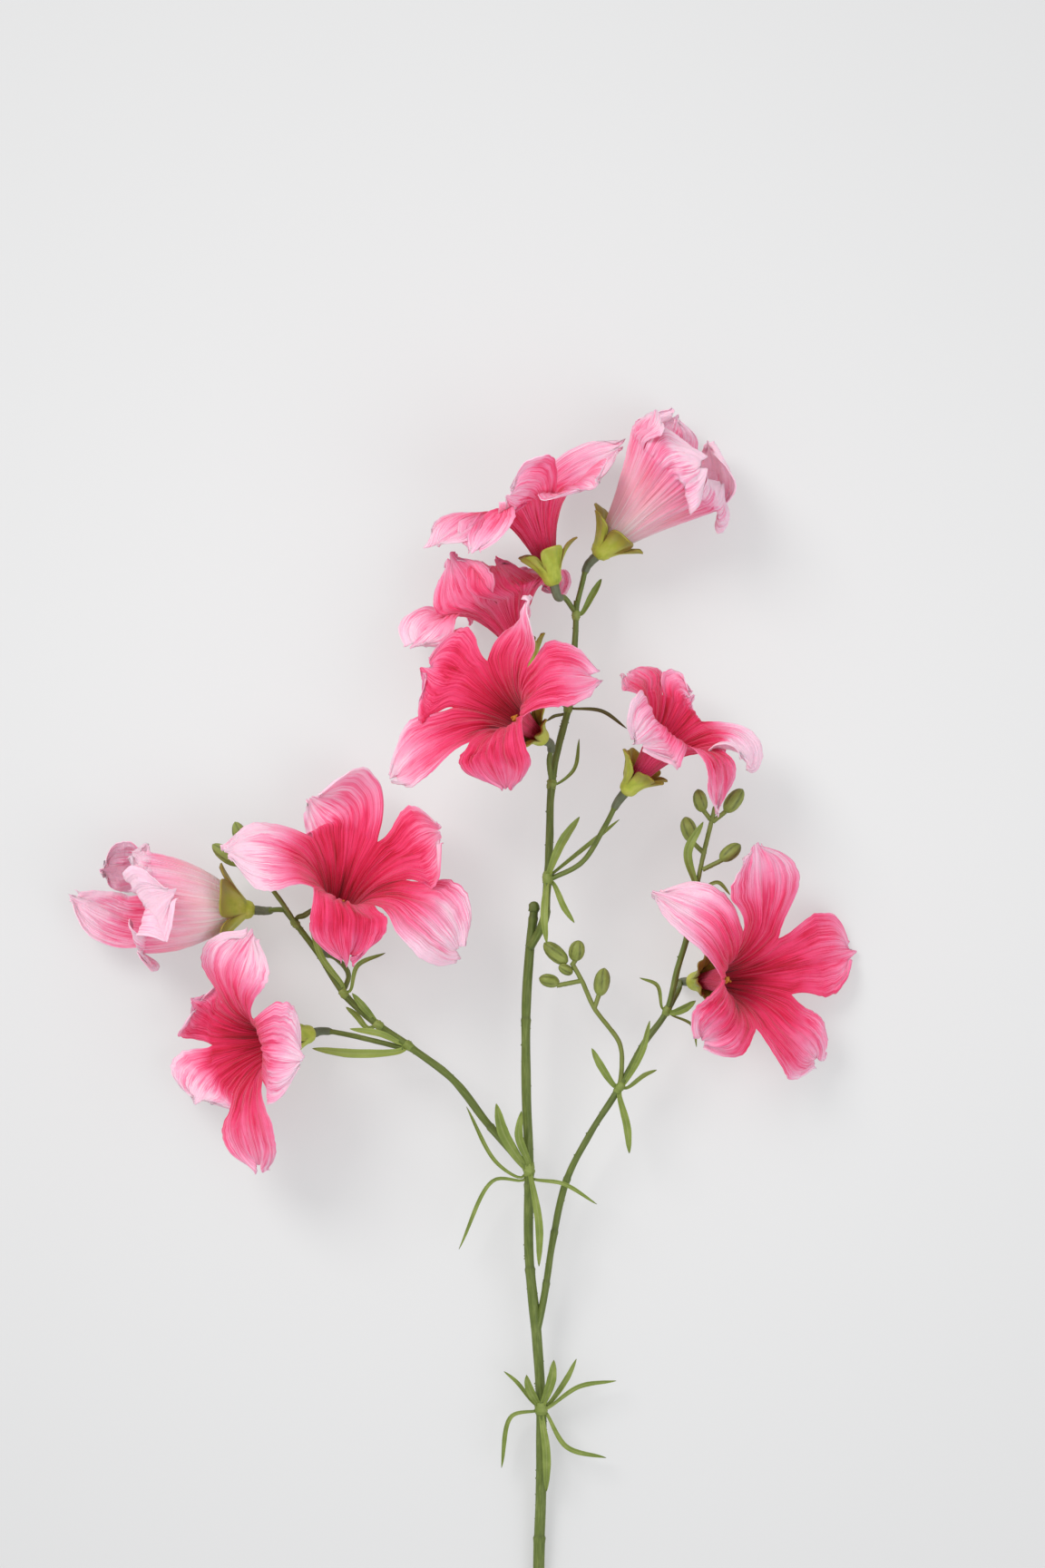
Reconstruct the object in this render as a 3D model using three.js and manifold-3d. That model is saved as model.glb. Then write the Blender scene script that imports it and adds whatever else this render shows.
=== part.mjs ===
// Petunia spray: one cut stem with nine trumpet blossoms, eleven buds and thirteen leaf whorls,
// made of cloth corollas and moulded plastic greenery. It lies on its back on a table.
// Millimetres. +X right and +Y towards the tip of the spray, +Z up from the table.
// Lay-out points are measured from the place where the stem meets the front edge of the table.
import * as THREE from "three";
import Module from "manifold-3d";

const wasm = await Module();
wasm.setup();
const { Manifold, Mesh } = wasm;

// ---------- sizes ----------
const GAP = 0.3;               // air left between two parts that touch in life
const CLOTH = 0.6;             // thickness of the corolla cloth
const SEPAL = 0.8;             // thickness of a sepal
const LEAF = 0.8;              // thickness of a leaf
const FUNNEL_STEPS = 32;       // steps along the wall when a funnel's profile is drawn
const CRUMB = 0.06;            // edges shorter than this are dissolved
const SEAT = 3.4;              // how far a calyx reaches below its corolla
const SLEEVE_LENGTH = 8;       // dark sleeve at the end of each flower stalk
const STALK = 1.05;            // radius of a flower stalk

// ---------- colours and finishes ----------
const FINISHES = {
  corolla: { color: 0xe0607f, roughness: 0.8 },
  calyx: { color: 0x8f9440, roughness: 0.6 },
  stamen: { color: 0xd98a2b, roughness: 0.6 },
  pedicel: { color: 0x66703f, roughness: 0.55 },
  bud_sprig: { color: 0x6f7b3f, roughness: 0.6 },
  whorl: { color: 0x6d7c3c, roughness: 0.55 },
  stem: { color: 0x5f6b38, roughness: 0.5 },
};

// ---------- small vector helpers ----------
const add = (a, b) => a.map((v, i) => v + b[i]);
const sub = (a, b) => a.map((v, i) => v - b[i]);
const mul = (a, k) => a.map((v) => v * k);
const dot = (a, b) => a[0] * b[0] + a[1] * b[1] + a[2] * b[2];
const cross = (a, b) => [a[1] * b[2] - a[2] * b[1], a[2] * b[0] - a[0] * b[2], a[0] * b[1] - a[1] * b[0]];
const len = (a) => Math.hypot(...a);
const unit = (a) => mul(a, 1 / len(a));
const mix = (a, b, t) => add(mul(a, 1 - t), mul(b, t));
const rad = (d) => (d * Math.PI) / 180;
const sin = (d) => Math.sin(rad(d));
const cos = (d) => Math.cos(rad(d));
const smooth = (t) => {
  const c = Math.min(1, Math.max(0, t));
  return c * c * (3 - 2 * c);
};

// ---------- solids ----------
function solid(points, faces) {
  const mesh = new Mesh({
    numProp: 3,
    vertProperties: new Float32Array(points.flat()),
    triVerts: new Uint32Array(faces.flat()),
  });
  return new Manifold(mesh);
}

// a curve through the given points, in equal steps
function curve(points, steps) {
  const path = new THREE.CatmullRomCurve3(points.map((p) => new THREE.Vector3(...p)), false, "centripetal");
  return path.getSpacedPoints(steps).map((v) => [v.x, v.y, v.z]);
}

// a round rod along a line of points; radius is a function of the share of the way along
function rod(points, radius, sides = 8) {
  const vertices = [];
  const faces = [];
  const last = points.length - 1;
  let across = null;
  points.forEach((p, i) => {
    const along = unit(sub(points[Math.min(last, i + 1)], points[Math.max(0, i - 1)]));
    const seed = across ?? (Math.abs(along[2]) < 0.9 ? [0, 0, 1] : [1, 0, 0]);
    across = unit(sub(seed, mul(along, dot(seed, along))));
    const other = cross(along, across);
    const r = radius(i / last);
    for (let k = 0; k < sides; k += 1) {
      const a = (360 * k) / sides;
      vertices.push(add(p, add(mul(across, r * cos(a)), mul(other, r * sin(a)))));
    }
  });
  for (let i = 0; i < last; i += 1) {
    for (let k = 0; k < sides; k += 1) {
      const n = (k + 1) % sides;
      const [a, b, c, d] = [i * sides + k, i * sides + n, (i + 1) * sides + n, (i + 1) * sides + k];
      faces.push([a, b, c], [a, c, d]);
    }
  }
  const start = vertices.push(points[0]) - 1;
  const end = vertices.push(points[last]) - 1;
  for (let k = 0; k < sides; k += 1) {
    const n = (k + 1) % sides;
    faces.push([start, n, k], [end, last * sides + k, last * sides + n]);
  }
  return solid(vertices, faces);
}

// Cloth or plastic of even thickness. The grid is a list of points with the quads between them;
// every quad edge that only one quad uses is an edge of the cloth and gets closed.
function cloth(points, quads, thickness) {
  const normals = points.map(() => [0, 0, 0]);
  const used = new Map();
  for (const quad of quads) {
    const [a, b, c, d] = quad.map((i) => points[i]);
    const normal = cross(sub(c, a), sub(d, b));
    quad.forEach((i, k) => {
      normals[i] = add(normals[i], normal);
      const next = quad[(k + 1) % 4];
      used.set(`${i} ${next}`, [i, next]);
    });
  }
  const n = points.length;
  const out = normals.map((normal) => mul(unit(normal), thickness / 2));
  const vertices = [...points.map((p, i) => add(p, out[i])), ...points.map((p, i) => sub(p, out[i]))];
  const faces = [];
  for (const [a, b, c, d] of quads) {
    faces.push([a, b, c], [a, c, d], [n + a, n + c, n + b], [n + a, n + d, n + c]);
  }
  for (const [i, j] of used.values()) {
    if (!used.has(`${j} ${i}`)) {
      faces.push([j, i, n + i], [j, n + i, n + j]);
    }
  }
  return solid(vertices, faces);
}

// quads between neighbouring rows of equal length, first point at the given place in the list
function weave(first, high, wide) {
  const quads = [];
  for (let i = 0; i < high - 1; i += 1) {
    for (let j = 0; j < wide - 1; j += 1) {
      const k = first + i * wide + j;
      quads.push([k, k + 1, k + 1 + wide, k + wide]);
    }
  }
  return quads;
}

// a body of rings laid one after another, closed by a point at both ends
function lathe(start, rings, end) {
  const sides = rings[0].length;
  const vertices = [...rings.flat(), start, end];
  const faces = [];
  const last = (rings.length - 1) * sides;
  for (let k = 0; k < sides; k += 1) {
    const n = (k + 1) % sides;
    faces.push([vertices.length - 2, n, k], [vertices.length - 1, last + k, last + n]);
    for (let i = 0; i < last; i += sides) {
      faces.push([i + k, i + n, i + sides + n], [i + k, i + sides + n, i + sides + k]);
    }
  }
  return solid(vertices, faces);
}

const join = (pieces) => pieces.reduce((whole, piece) => whole.add(piece));
const carve = (piece, cutters) => cutters.reduce((left, cutter) => left.subtract(cutter), piece);
// a cut can shed crumbs; the part is the largest body left
const larger = (a, b) => (b.volume() > a.volume() ? b : a);
const main = (piece) => piece.simplify(CRUMB).decompose().reduce(larger);

// ---------- a five-lobed funnel ----------
class Bloom {
  constructor({ base, heading, tilt, tube, flare, neck = 2.4, lean = 9, power = 2, bow = 0.5, petals }) {
    this.base = base;
    this.axis = [cos(heading) * cos(tilt), sin(heading) * cos(tilt), sin(tilt)];
    this.side = [-sin(heading), cos(heading), 0];
    this.up = [-cos(heading) * sin(tilt), -sin(heading) * sin(tilt), cos(tilt)];
    this.flare = flare;
    this.bow = bow;
    this.profile = [[neck, 0]];
    let [r, h] = this.profile[0];
    for (let k = 0; k < FUNNEL_STEPS; k += 1) {
      const slope = lean + (flare - lean) * ((k + 0.5) / FUNNEL_STEPS) ** power;
      r += (sin(slope) * tube) / FUNNEL_STEPS;
      h += (cos(slope) * tube) / FUNNEL_STEPS;
      this.profile.push([r, h]);
    }
    this.petals = [...petals].sort((a, b) => a.turn - b.turn);
  }

  radial(turn) {
    return add(mul(this.side, cos(turn)), mul(this.up, sin(turn)));
  }

  point(r, h, turn) {
    return add(this.base, add(mul(this.axis, h), mul(this.radial(turn), r)));
  }

  funnel(s, turn) {
    const x = s * FUNNEL_STEPS;
    const k = Math.min(FUNNEL_STEPS - 1, Math.floor(x));
    const [r, h] = mix(this.profile[k], this.profile[k + 1], x - k);
    return this.point(r, h, turn);
  }

  // radius of the funnel at a height above its base
  radiusAt(h) {
    const k = this.profile.findIndex((row) => row[1] > h);
    if (k < 1) {
      return this.profile[k < 0 ? FUNNEL_STEPS : 0][0];
    }
    const [low, high] = [this.profile[k - 1], this.profile[k]];
    return low[0] + ((high[0] - low[0]) * (h - low[1])) / (high[1] - low[1]);
  }

  notches(i) {
    const n = this.petals.length;
    const me = this.petals[i].turn;
    const before = this.petals[(i + n - 1) % n].turn - (i === 0 ? 360 : 0);
    const after = this.petals[(i + 1) % n].turn + (i === n - 1 ? 360 : 0);
    return [(before + me) / 2, (me + after) / 2];
  }

  halfWidth(i, u) {
    const [a, b] = this.notches(i);
    const root = this.profile[FUNNEL_STEPS][0] * sin(Math.min(b - a, 120) / 2);
    const full = this.petals[i].width / 2;
    const widest = 0.55;
    if (u < widest) {
      return root + (full - root) * sin((90 * u) / widest);
    }
    const t = (u - widest) / (1 - widest);
    return full * Math.max(0.16, (1 - t ** 2.4) ** 0.6);
  }

  // a point of petal i: u runs from the rim to the tip, v from edge to edge
  petal(i, u, v) {
    const { turn, tip, twist, cup } = this.petals[i];
    const root = this.funnel(1, turn);
    const start = add(mul(this.axis, cos(this.flare)), mul(this.radial(turn), sin(this.flare)));
    const bend = add(root, mul(start, len(sub(tip, root)) * this.bow));
    const mid = mix(mix(root, bend, u), mix(bend, tip, u), u);
    const along = unit(mix(sub(bend, root), sub(tip, bend), u));
    const tangent = add(mul(this.side, -sin(turn)), mul(this.up, cos(turn)));
    const flat = unit(sub(tangent, mul(along, dot(tangent, along))));
    const outward = cross(flat, along);
    const w = twist * smooth(u);
    const across = add(mul(flat, cos(w)), mul(outward, sin(w)));
    const out = sub(mul(outward, cos(w)), mul(flat, sin(w)));
    const [a, b] = this.notches(i);
    const rim = this.funnel(1, (a + b) / 2 + (v * (b - a)) / 2);
    const half = this.halfWidth(i, u);
    const dish = cup * half * v * v * smooth(u / 0.4);
    const open = add(mid, sub(mul(across, v * half), mul(out, dish)));
    return mix(add(rim, sub(mid, root)), open, smooth(u / 0.35));
  }
}

// ---------- lay-out ----------
// Each flower: base of the funnel, the way it points in plan, how far it looks up, length of the
// funnel's wall and how wide it flares. Each petal: its place round the rim, where its tip ends.
const FLOWERS = [
  { base: [24, 404, 24], heading: 47, tilt: 8, tube: 46, flare: 30, neck: 3, lean: 20, power: 1, bow: 0.4,
    petals: [
    { turn: 15, tip: [44, 458, 34], width: 34, twist: 0, cup: 0.2 },
    { turn: 85, tip: [64, 437, 48], width: 34, twist: 0, cup: 0.3 },
    { turn: 155, tip: [71, 429, 28], width: 28, twist: 0, cup: 0.2 },
    { turn: 225, tip: [67, 447, 14], width: 28, twist: 0, cup: 0.1 },
    { turn: 300, tip: [54, 459, 12], width: 28, twist: 0, cup: 0.1 },
  ] },
  { base: [4, 393, 36], heading: 107, tilt: 3, tube: 34, flare: 52, lean: 12, bow: 0.3, petals: [
    { turn: 5, tip: [-43, 404, 44], width: 30, twist: 35, cup: 0 },
    { turn: 45, tip: [-27, 402, 57], width: 30, twist: 5, cup: 0 },
    { turn: 97, tip: [-14, 424, 62], width: 34, twist: 0, cup: 0.2 },
    { turn: 155, tip: [19, 427, 56], width: 34, twist: -20, cup: 0.2 },
    { turn: 240, tip: [32, 446, 16], width: 22, twist: -40, cup: 0 },
  ] },
  { base: [-5, 356, 18], heading: 112, tilt: 4, tube: 34, flare: 56, petals: [
    { turn: 10, tip: [-51, 366, 28], width: 32, twist: 40, cup: 0 },
    { turn: 55, tip: [-35, 400, 30], width: 30, twist: 10, cup: 0 },
    { turn: 112, tip: [-19, 400, 25], width: 36, twist: -30, cup: 0 },
    { turn: 195, tip: [0, 391, 8], width: 22, twist: -10, cup: 0 },
    { turn: 280, tip: [-28, 389, 5], width: 24, twist: 0, cup: 0 },
  ] },
  { base: [-1, 330, 38], heading: 143, tilt: 45, tube: 38, flare: 64, petals: [
    { turn: 338, tip: [-58, 314, 46], width: 28, twist: -5, cup: 0 },
    { turn: 50, tip: [-14, 310, 66], width: 27, twist: -5, cup: 0 },
    { turn: 276, tip: [-46, 357, 44], width: 38, twist: -10, cup: 0 },
    { turn: 190, tip: [-5, 384, 60], width: 24, twist: 60, cup: 0 },
    { turn: 140, tip: [21, 353, 68], width: 27, twist: -5, cup: 0 },
  ] },
  { base: [35, 310, 34], heading: 52, tilt: 20, tube: 38, flare: 56, petals: [
    { turn: 340, tip: [33, 355, 38], width: 36, twist: 10, cup: 0 },
    { turn: 285, tip: [60, 346, 26], width: 24, twist: 0, cup: 0 },
    { turn: 215, tip: [81, 318, 44], width: 28, twist: -10, cup: 0 },
    { turn: 150, tip: [69, 301, 50], width: 18, twist: 0, cup: 0 },
    { turn: 78, tip: [38, 327, 64], width: 30, twist: 40, cup: 0 },
  ] },
  { base: [62, 232, 9], heading: 5, tilt: 46, tube: 40, flare: 66, petals: [
    { turn: 352, tip: [85, 287, 36], width: 33, twist: 10, cup: 0 },
    { turn: 45, tip: [44, 268, 46], width: 26, twist: -20, cup: 0 },
    { turn: 128, tip: [63, 210, 46], width: 27, twist: 0, cup: 0 },
    { turn: 210, tip: [111, 200, 10], width: 26, twist: -10, cup: 0 },
    { turn: 282, tip: [125, 244, 2], width: 30, twist: 0, cup: 0 },
  ] },
  { base: [-85, 250, 12], heading: 70, tilt: 40, tube: 44, flare: 62, petals: [
    { turn: 15, tip: [-124, 284, 46], width: 36, twist: 0, cup: -0.2 },
    { turn: 290, tip: [-93, 312, 26], width: 38, twist: 5, cup: 0 },
    { turn: 220, tip: [-41, 291, 32], width: 36, twist: 0, cup: 0 },
    { turn: 160, tip: [-32, 245, 42], width: 38, twist: 0, cup: 0 },
    { turn: 100, tip: [-76, 241, 52], width: 27, twist: 0, cup: 0 },
  ] },
  { base: [-118, 261, 19], heading: 176, tilt: 8, tube: 44, flare: 4, lean: 44, power: 1, bow: 0.4,
    petals: [
    { turn: 15, tip: [-161, 246, 27], width: 30, twist: 0, cup: 0.2 },
    { turn: 85, tip: [-145, 268, 49], width: 30, twist: 0, cup: 0.2 },
    { turn: 155, tip: [-161, 283, 33], width: 30, twist: 0, cup: 0.1 },
    { turn: 225, tip: [-177, 277, 13], width: 26, twist: 0, cup: 0 },
    { turn: 300, tip: [-187, 265, 9], width: 22, twist: 0, cup: 0 },
  ] },
  { base: [-94, 211, 16], heading: 190, tilt: 35, tube: 38, flare: 64, petals: [
    { turn: 165, tip: [-114, 252, 42], width: 34, twist: -15, cup: 0 },
    { turn: 225, tip: [-138, 224, 26], width: 28, twist: -20, cup: 0 },
    { turn: 300, tip: [-136, 185, 20], width: 36, twist: 0, cup: 0 },
    { turn: 5, tip: [-112, 159, 34], width: 30, twist: 10, cup: 0 },
    { turn: 85, tip: [-93, 203, 56], width: 37, twist: 0, cup: 0 },
  ] },
];

// Stems: route, radius at the start and at the end
const STEMS = {
  main_stem: { route: [[-1, -60, 2.4], [-1, -4, 3], [0, 54, 8], [-2, 91, 11], [-5, 124, 14], [-5, 157, 17],
    [-6, 190, 20], [-6, 226, 23], [-3, 262, 26]], from: 2.1, to: 1.7 },
  upper_stem: { route: [[1, 257, 29.5], [2, 267, 28.5], [3, 284, 27], [4, 311, 26], [7, 327, 25],
    [11, 343, 24],
    [13, 363, 24], [14, 384, 24]], from: 1.7, to: 1.1 },
  left_branch: { route: [[-5, 157, 17], [-21, 175, 20], [-35, 193, 22], [-53, 207, 24], [-66, 216, 25],
    [-78, 227, 26], [-89, 244, 26], [-102, 261, 26]], from: 1.6, to: 1.1 },
  right_branch: { route: [[-2, 91, 11], [1, 106, 13], [5, 131, 15], [10, 153, 17], [19, 171, 19],
    [31, 190, 21],
    [41, 208, 22], [50, 221, 22], [54, 237, 23], [58, 251, 25], [62, 273, 27]], from: 1.4, to: 1.1 },
};

// Stalks of the nine flowers: route up to the seat of the calyx, and the stem they leave
const STALKS = [
  { parent: "upper_stem", route: [[14, 382, 24], [16, 390, 23]] },
  { parent: "upper_stem", route: [[13, 380, 24], [9, 385, 30]] },
  { parent: "upper_stem", route: [[11, 341, 24], [6, 345, 20]] },
  { parent: "upper_stem", route: [[4, 312, 26], [3, 320, 30]] },
  { parent: "upper_stem", route: [[3, 273, 28], [16, 280, 30], [25, 294, 31]] },
  { parent: "right_branch", route: [[51, 222, 22], [55, 229, 14]] },
  { parent: "left_branch", route: [[-79, 228, 26], [-77, 235, 18], [-82, 241, 9]] },
  { parent: "left_branch", route: [[-101, 261, 26], [-106, 261, 22]] },
  { parent: "left_branch", route: [[-55, 206, 24], [-68, 209, 20], [-78, 211, 14]] },
];

// Bud sprigs: twigs, and buds as [foot, tip, radius]
const SPRIGS = {
  bud_sprig_centre: {
    parent: "right_branch",
    twigs: [[[31, 190, 21], [32, 199, 23], [31, 208, 25], [21, 222, 28], [16, 233, 29], [12, 240, 30]],
      [[21, 222, 28], [23, 228, 28]], [[16, 233, 29], [6, 231, 29]], [[12, 239, 30], [14, 242, 31]]],
    buds: [[[10, 240, 30], [1, 248, 28], 3.6], [[13, 241, 30], [15, 249, 33], 3.6],
      [[7, 232, 29], [-1, 234, 29], 3.0],
      [[12, 236, 29], [7, 239, 33], 2.4], [[23, 227, 28], [25, 238, 27], 3.6]],
  },
  bud_sprig_right: {
    parent: "right_branch",
    twigs: [[[62, 272, 27], [65, 286, 28], [68, 298, 28], [69, 302, 28]], [[67, 297, 28], [64, 301, 29]],
      [[68, 296, 28], [73, 300, 28]], [[65, 283, 28], [60, 288, 27]], [[64, 277, 28], [72, 281, 29]]],
    buds: [[[64, 300, 29], [62, 309, 30], 3.2], [[73, 300, 28], [80, 309, 27], 3.6],
      [[60, 288, 27], [57, 298, 27], 3.6], [[71, 281, 29], [79, 287, 29], 3.4]],
  },
  bud_sprig_left: {
    parent: "left_branch",
    twigs: [[[-96, 253, 26], [-103, 264, 30], [-112, 276, 27], [-117, 284, 25]],
      [[-112, 276, 27], [-121, 279, 25]]],
    buds: [[[-117, 284, 25], [-122, 296, 24], 3.4], [[-120, 279, 25], [-131, 287, 24], 3.4]],
  },
};

// Leaf whorls: place on the stem, leaves as points from foot to tip and a width
const WHORLS = {
  whorl_a: { stem: "main_stem", at: [0, 61, 8.5], collar: 5, leaves: [
    { path: [[-2, 60, 9], [-12, 58, 11], [-16, 37, 8]], width: 1.8 },
    { path: [[2, 59, 9], [10, 46, 12], [26, 41, 8]], width: 2 },
    { path: [[0, 58, 10], [2, 44, 13], [2, 28, 11]], width: 3.2 },
    { path: [[-3, 63, 9], [-10, 72, 12], [-15, 76, 11]], width: 1.6 },
    { path: [[-2, 64, 11], [-5, 70, 15], [-6, 75, 17]], width: 3.2 },
    { path: [[1, 64, 11], [4, 73, 15], [5, 81, 17]], width: 3.6 },
    { path: [[3, 63, 10], [10, 73, 12], [14, 81, 12]], width: 2.2 },
    { path: [[2, 61, 10], [15, 70, 12], [30, 72, 9]], width: 1.8 } ] },
  whorl_b: { stem: "main_stem", at: [-5, 157, 17], collar: 6, leaves: [
    { path: [[-7, 159, 19], [-15, 172, 25], [-18, 184, 28]], width: 4.3 },
    { path: [[-7, 160, 17], [-15, 170, 16], [-17, 178, 15]], width: 3 },
    { path: [[-5, 160, 20], [-9, 171, 25], [-8, 181, 27]], width: 3.2 },
    { path: [[-8, 154, 17], [-18, 160, 16], [-30, 182, 12]], width: 1.6 },
    { path: [[-7, 153, 17], [-19, 153, 18], [-33, 125, 13]], width: 1.6 },
    { path: [[-4, 154, 19], [9, 152, 25], [22, 144, 26]], width: 1.6 },
    { path: [[-4, 153, 20], [-1, 136, 24], [-1, 119, 22]], width: 3 } ] },
  whorl_c: { stem: "right_branch", at: [31, 190, 21], collar: 5, leaves: [
    { path: [[29, 191, 22], [23, 200, 26], [20, 206, 27]], width: 2.9 },
    { path: [[33, 192, 22], [40, 205, 27], [43, 217, 28]], width: 2.5 },
    { path: [[34, 190, 21], [41, 195, 20], [46, 197, 18]], width: 1.8 },
    { path: [[31, 187, 22], [34, 175, 24], [35, 164, 22]], width: 2.9 } ] },
  whorl_d: { stem: "right_branch", at: [50, 221, 22], collar: 4, leaves: [
    { path: [[48, 222, 23], [46, 231, 25], [39, 234, 26]], width: 1.5 },
    { path: [[52, 220, 24], [57, 222, 28], [61, 225, 31]], width: 3 },
    { path: [[52, 219, 22], [60, 215, 20], [62, 206, 16]], width: 1.2 } ] },
  whorl_e: { stem: "right_branch", at: [61, 269, 26.6], collar: 4, leaves: [
    { path: [[61, 272, 28], [58, 284, 32], [64, 296, 34]], width: 3.4 },
    { path: [[63, 269, 27], [70, 272, 28], [75, 267, 27]], width: 1.5 } ] },
  whorl_f: { stem: "upper_stem", at: [3, 274, 27.8], collar: 5, leaves: [
    { path: [[3, 276, 30], [8, 288, 34], [15, 298, 35]], width: 3.4 },
    { path: [[5, 276, 27], [20, 288, 25], [31, 297, 26]], width: 1.8 },
    { path: [[2, 271, 30], [1, 258, 36], [2, 248, 37]], width: 2.9 },
    { path: [[5, 271, 28], [9, 262, 30], [13, 256, 30]], width: 2.4 } ] },
  whorl_g: { stem: "upper_stem", at: [4, 311, 26], collar: 4, leaves: [
    { path: [[6, 311, 26], [13, 317, 25], [15, 329, 24]], width: 1.5 } ] },
  whorl_h: { stem: "upper_stem", at: [11, 341, 24], collar: 4, leaves: [
    { path: [[13, 341, 25], [24, 340, 27], [34, 333, 26]], width: 1.5 },
    { path: [[9, 339, 24], [5, 338, 24], [2, 336, 25]], width: 1.3 } ] },
  whorl_i: { stem: "upper_stem", at: [14, 378, 24], collar: 4, leaves: [
    { path: [[16, 379, 23], [20, 386, 19], [24, 393, 13]], width: 2.6 } ] },
  whorl_j: { stem: "left_branch", at: [-78, 228, 26], collar: 4, leaves: [
    { path: [[-76, 229, 27], [-73, 239, 29], [-62, 244, 30]], width: 1.8 },
    { path: [[-79, 231, 27], [-87, 242, 31], [-92, 256, 31]], width: 2.5 } ] },
  whorl_k: { stem: "left_branch", at: [-65, 215, 25], collar: 4, leaves: [
    { path: [[-67, 218, 26], [-71, 223, 30], [-75, 228, 33]], width: 2.8 },
    { path: [[-69, 214, 25], [-74, 219, 20], [-78, 222, 17]], width: 2.4 } ] },
  whorl_l: { stem: "left_branch", at: [-53, 207, 24], collar: 4, leaves: [
    { path: [[-56, 205, 25], [-74, 204, 27], [-91, 206, 28]], width: 3.4 },
    { path: [[-56, 208, 25], [-64, 212, 30], [-76, 214, 32]], width: 2.5 } ] },
  whorl_m: { stem: "left_branch", at: [-98, 256, 26], collar: 4, leaves: [
    { path: [[-97, 258, 28], [-94, 259, 31], [-90, 262, 33]], width: 2.2 } ] },
};

// ---------- parts ----------
const FUNNEL_ROWS = 3;
const PETAL_ROWS = 4;
const PETAL_COLUMNS = 3;

// open trumpet with five petals; both ends of the trumpet are open
function corolla(bloom) {
  const turns = [];
  bloom.petals.forEach((petal, i) => {
    const [a, b] = bloom.notches(i);
    for (let k = 0; k < PETAL_COLUMNS; k += 1) {
      turns.push(a + ((b - a) * k) / PETAL_COLUMNS);
    }
  });
  const wide = turns.length;
  const points = [];
  const quads = [];
  for (let k = 0; k <= FUNNEL_ROWS; k += 1) {
    turns.forEach((turn, j) => {
      points.push(bloom.funnel(k / FUNNEL_ROWS, turn));
      if (k > 0) {
        const [here, next] = [k * wide + j, k * wide + ((j + 1) % wide)];
        quads.push([here - wide, next - wide, next, here]);
      }
    });
  }
  bloom.petals.forEach((petal, i) => {
    const rim = Array.from({ length: PETAL_COLUMNS + 1 }, (_, k) => {
      return FUNNEL_ROWS * wide + ((i * PETAL_COLUMNS + k) % wide);
    });
    const first = points.length;
    for (let k = 1; k <= PETAL_ROWS; k += 1) {
      for (let j = 0; j <= PETAL_COLUMNS; j += 1) {
        points.push(bloom.petal(i, k / PETAL_ROWS, (2 * j) / PETAL_COLUMNS - 1));
      }
    }
    for (let j = 0; j < PETAL_COLUMNS; j += 1) {
      quads.push([rim[j], rim[j + 1], first + j + 1, first + j]);
    }
    quads.push(...weave(first, PETAL_ROWS, PETAL_COLUMNS + 1));
  });
  return cloth(points, quads, CLOTH);
}

// cup of five sepals, closed below, standing clear of the corolla
function calyx(bloom) {
  const clear = 1.3;
  const tops = [4.4, 9.8, 12.5, 9.8];
  const turns = Array.from({ length: 20 }, (_, k) => 18 * k);
  const ring = (share, wall) => turns.map((turn, k) => {
    const h = -0.4 + share * (tops[k % 4] + 0.4);
    const spread = 0.09 * Math.max(0, h) + 0.018 * Math.max(0, h) ** 2;
    return bloom.point(bloom.radiusAt(h) + clear + spread + wall, h - 0.4 * wall, turn);
  });
  const foot = turns.map((turn) => bloom.point(1.9, -SEAT, turn));
  const rings = [foot, ring(0, SEPAL / 2), ring(0.5, SEPAL / 2), ring(1, SEPAL / 2),
    ring(1, -SEPAL / 2), ring(0.5, -SEPAL / 2), ring(0, -SEPAL / 2)];
  return lathe(bloom.point(0, -SEAT, 0), rings, bloom.point(0, -0.4, 0));
}

// yellow-tipped stalk in the throat
function stamen(bloom) {
  const height = bloom.profile[FUNNEL_STEPS][1] * 0.55;
  const stations = [0, 0.62, 0.72, 0.86, 1];
  const radii = [0.8, 0.6, 1.2, 1.6, 0.4];
  const line = stations.map((t) => bloom.point(0, -0.1 + t * height, 0));
  return rod(line, (t) => radii[Math.round(t * (radii.length - 1))], 6);
}

// flower stalk with the thicker dark sleeve under the calyx
function pedicel(bloom, stalk, parent) {
  const end = bloom.point(0, -SEAT - GAP, 0);
  const below = bloom.point(0, -SEAT - 5, 0);
  const line = curve([...stalk.route, below, end], 8);
  const length = line.slice(1).reduce((sum, p, i) => sum + len(sub(p, line[i])), 0);
  const sleeve = 1 - SLEEVE_LENGTH / length;
  const radius = (t) => (t < sleeve ? STALK : 1.5 + (0.3 * (t - sleeve)) / (1 - sleeve));
  return main(carve(rod(line, radius, 6), [parent]));
}

function stem({ route, from, to }, extra = 0) {
  return rod(curve(route, 2 * route.length), (t) => from + (to - from) * t + extra, 8);
}

function budSprig({ twigs, buds }, parent) {
  const rods = twigs.map((twig) => rod(curve(twig, 2 * twig.length - 2), () => 0.9, 6));
  const bodies = buds.map(([foot, tip, radius]) => {
    const stations = [0, 0.14, 0.4, 0.68, 0.9, 1];
    const swell = [0.25, 0.75, 1, 0.9, 0.5, 0.12];
    return rod(stations.map((t) => mix(foot, tip, t)), (t) => radius * swell[Math.round(t * 5)], 8);
  });
  return main(carve(join([...rods, ...bodies]), [parent]));
}

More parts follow.
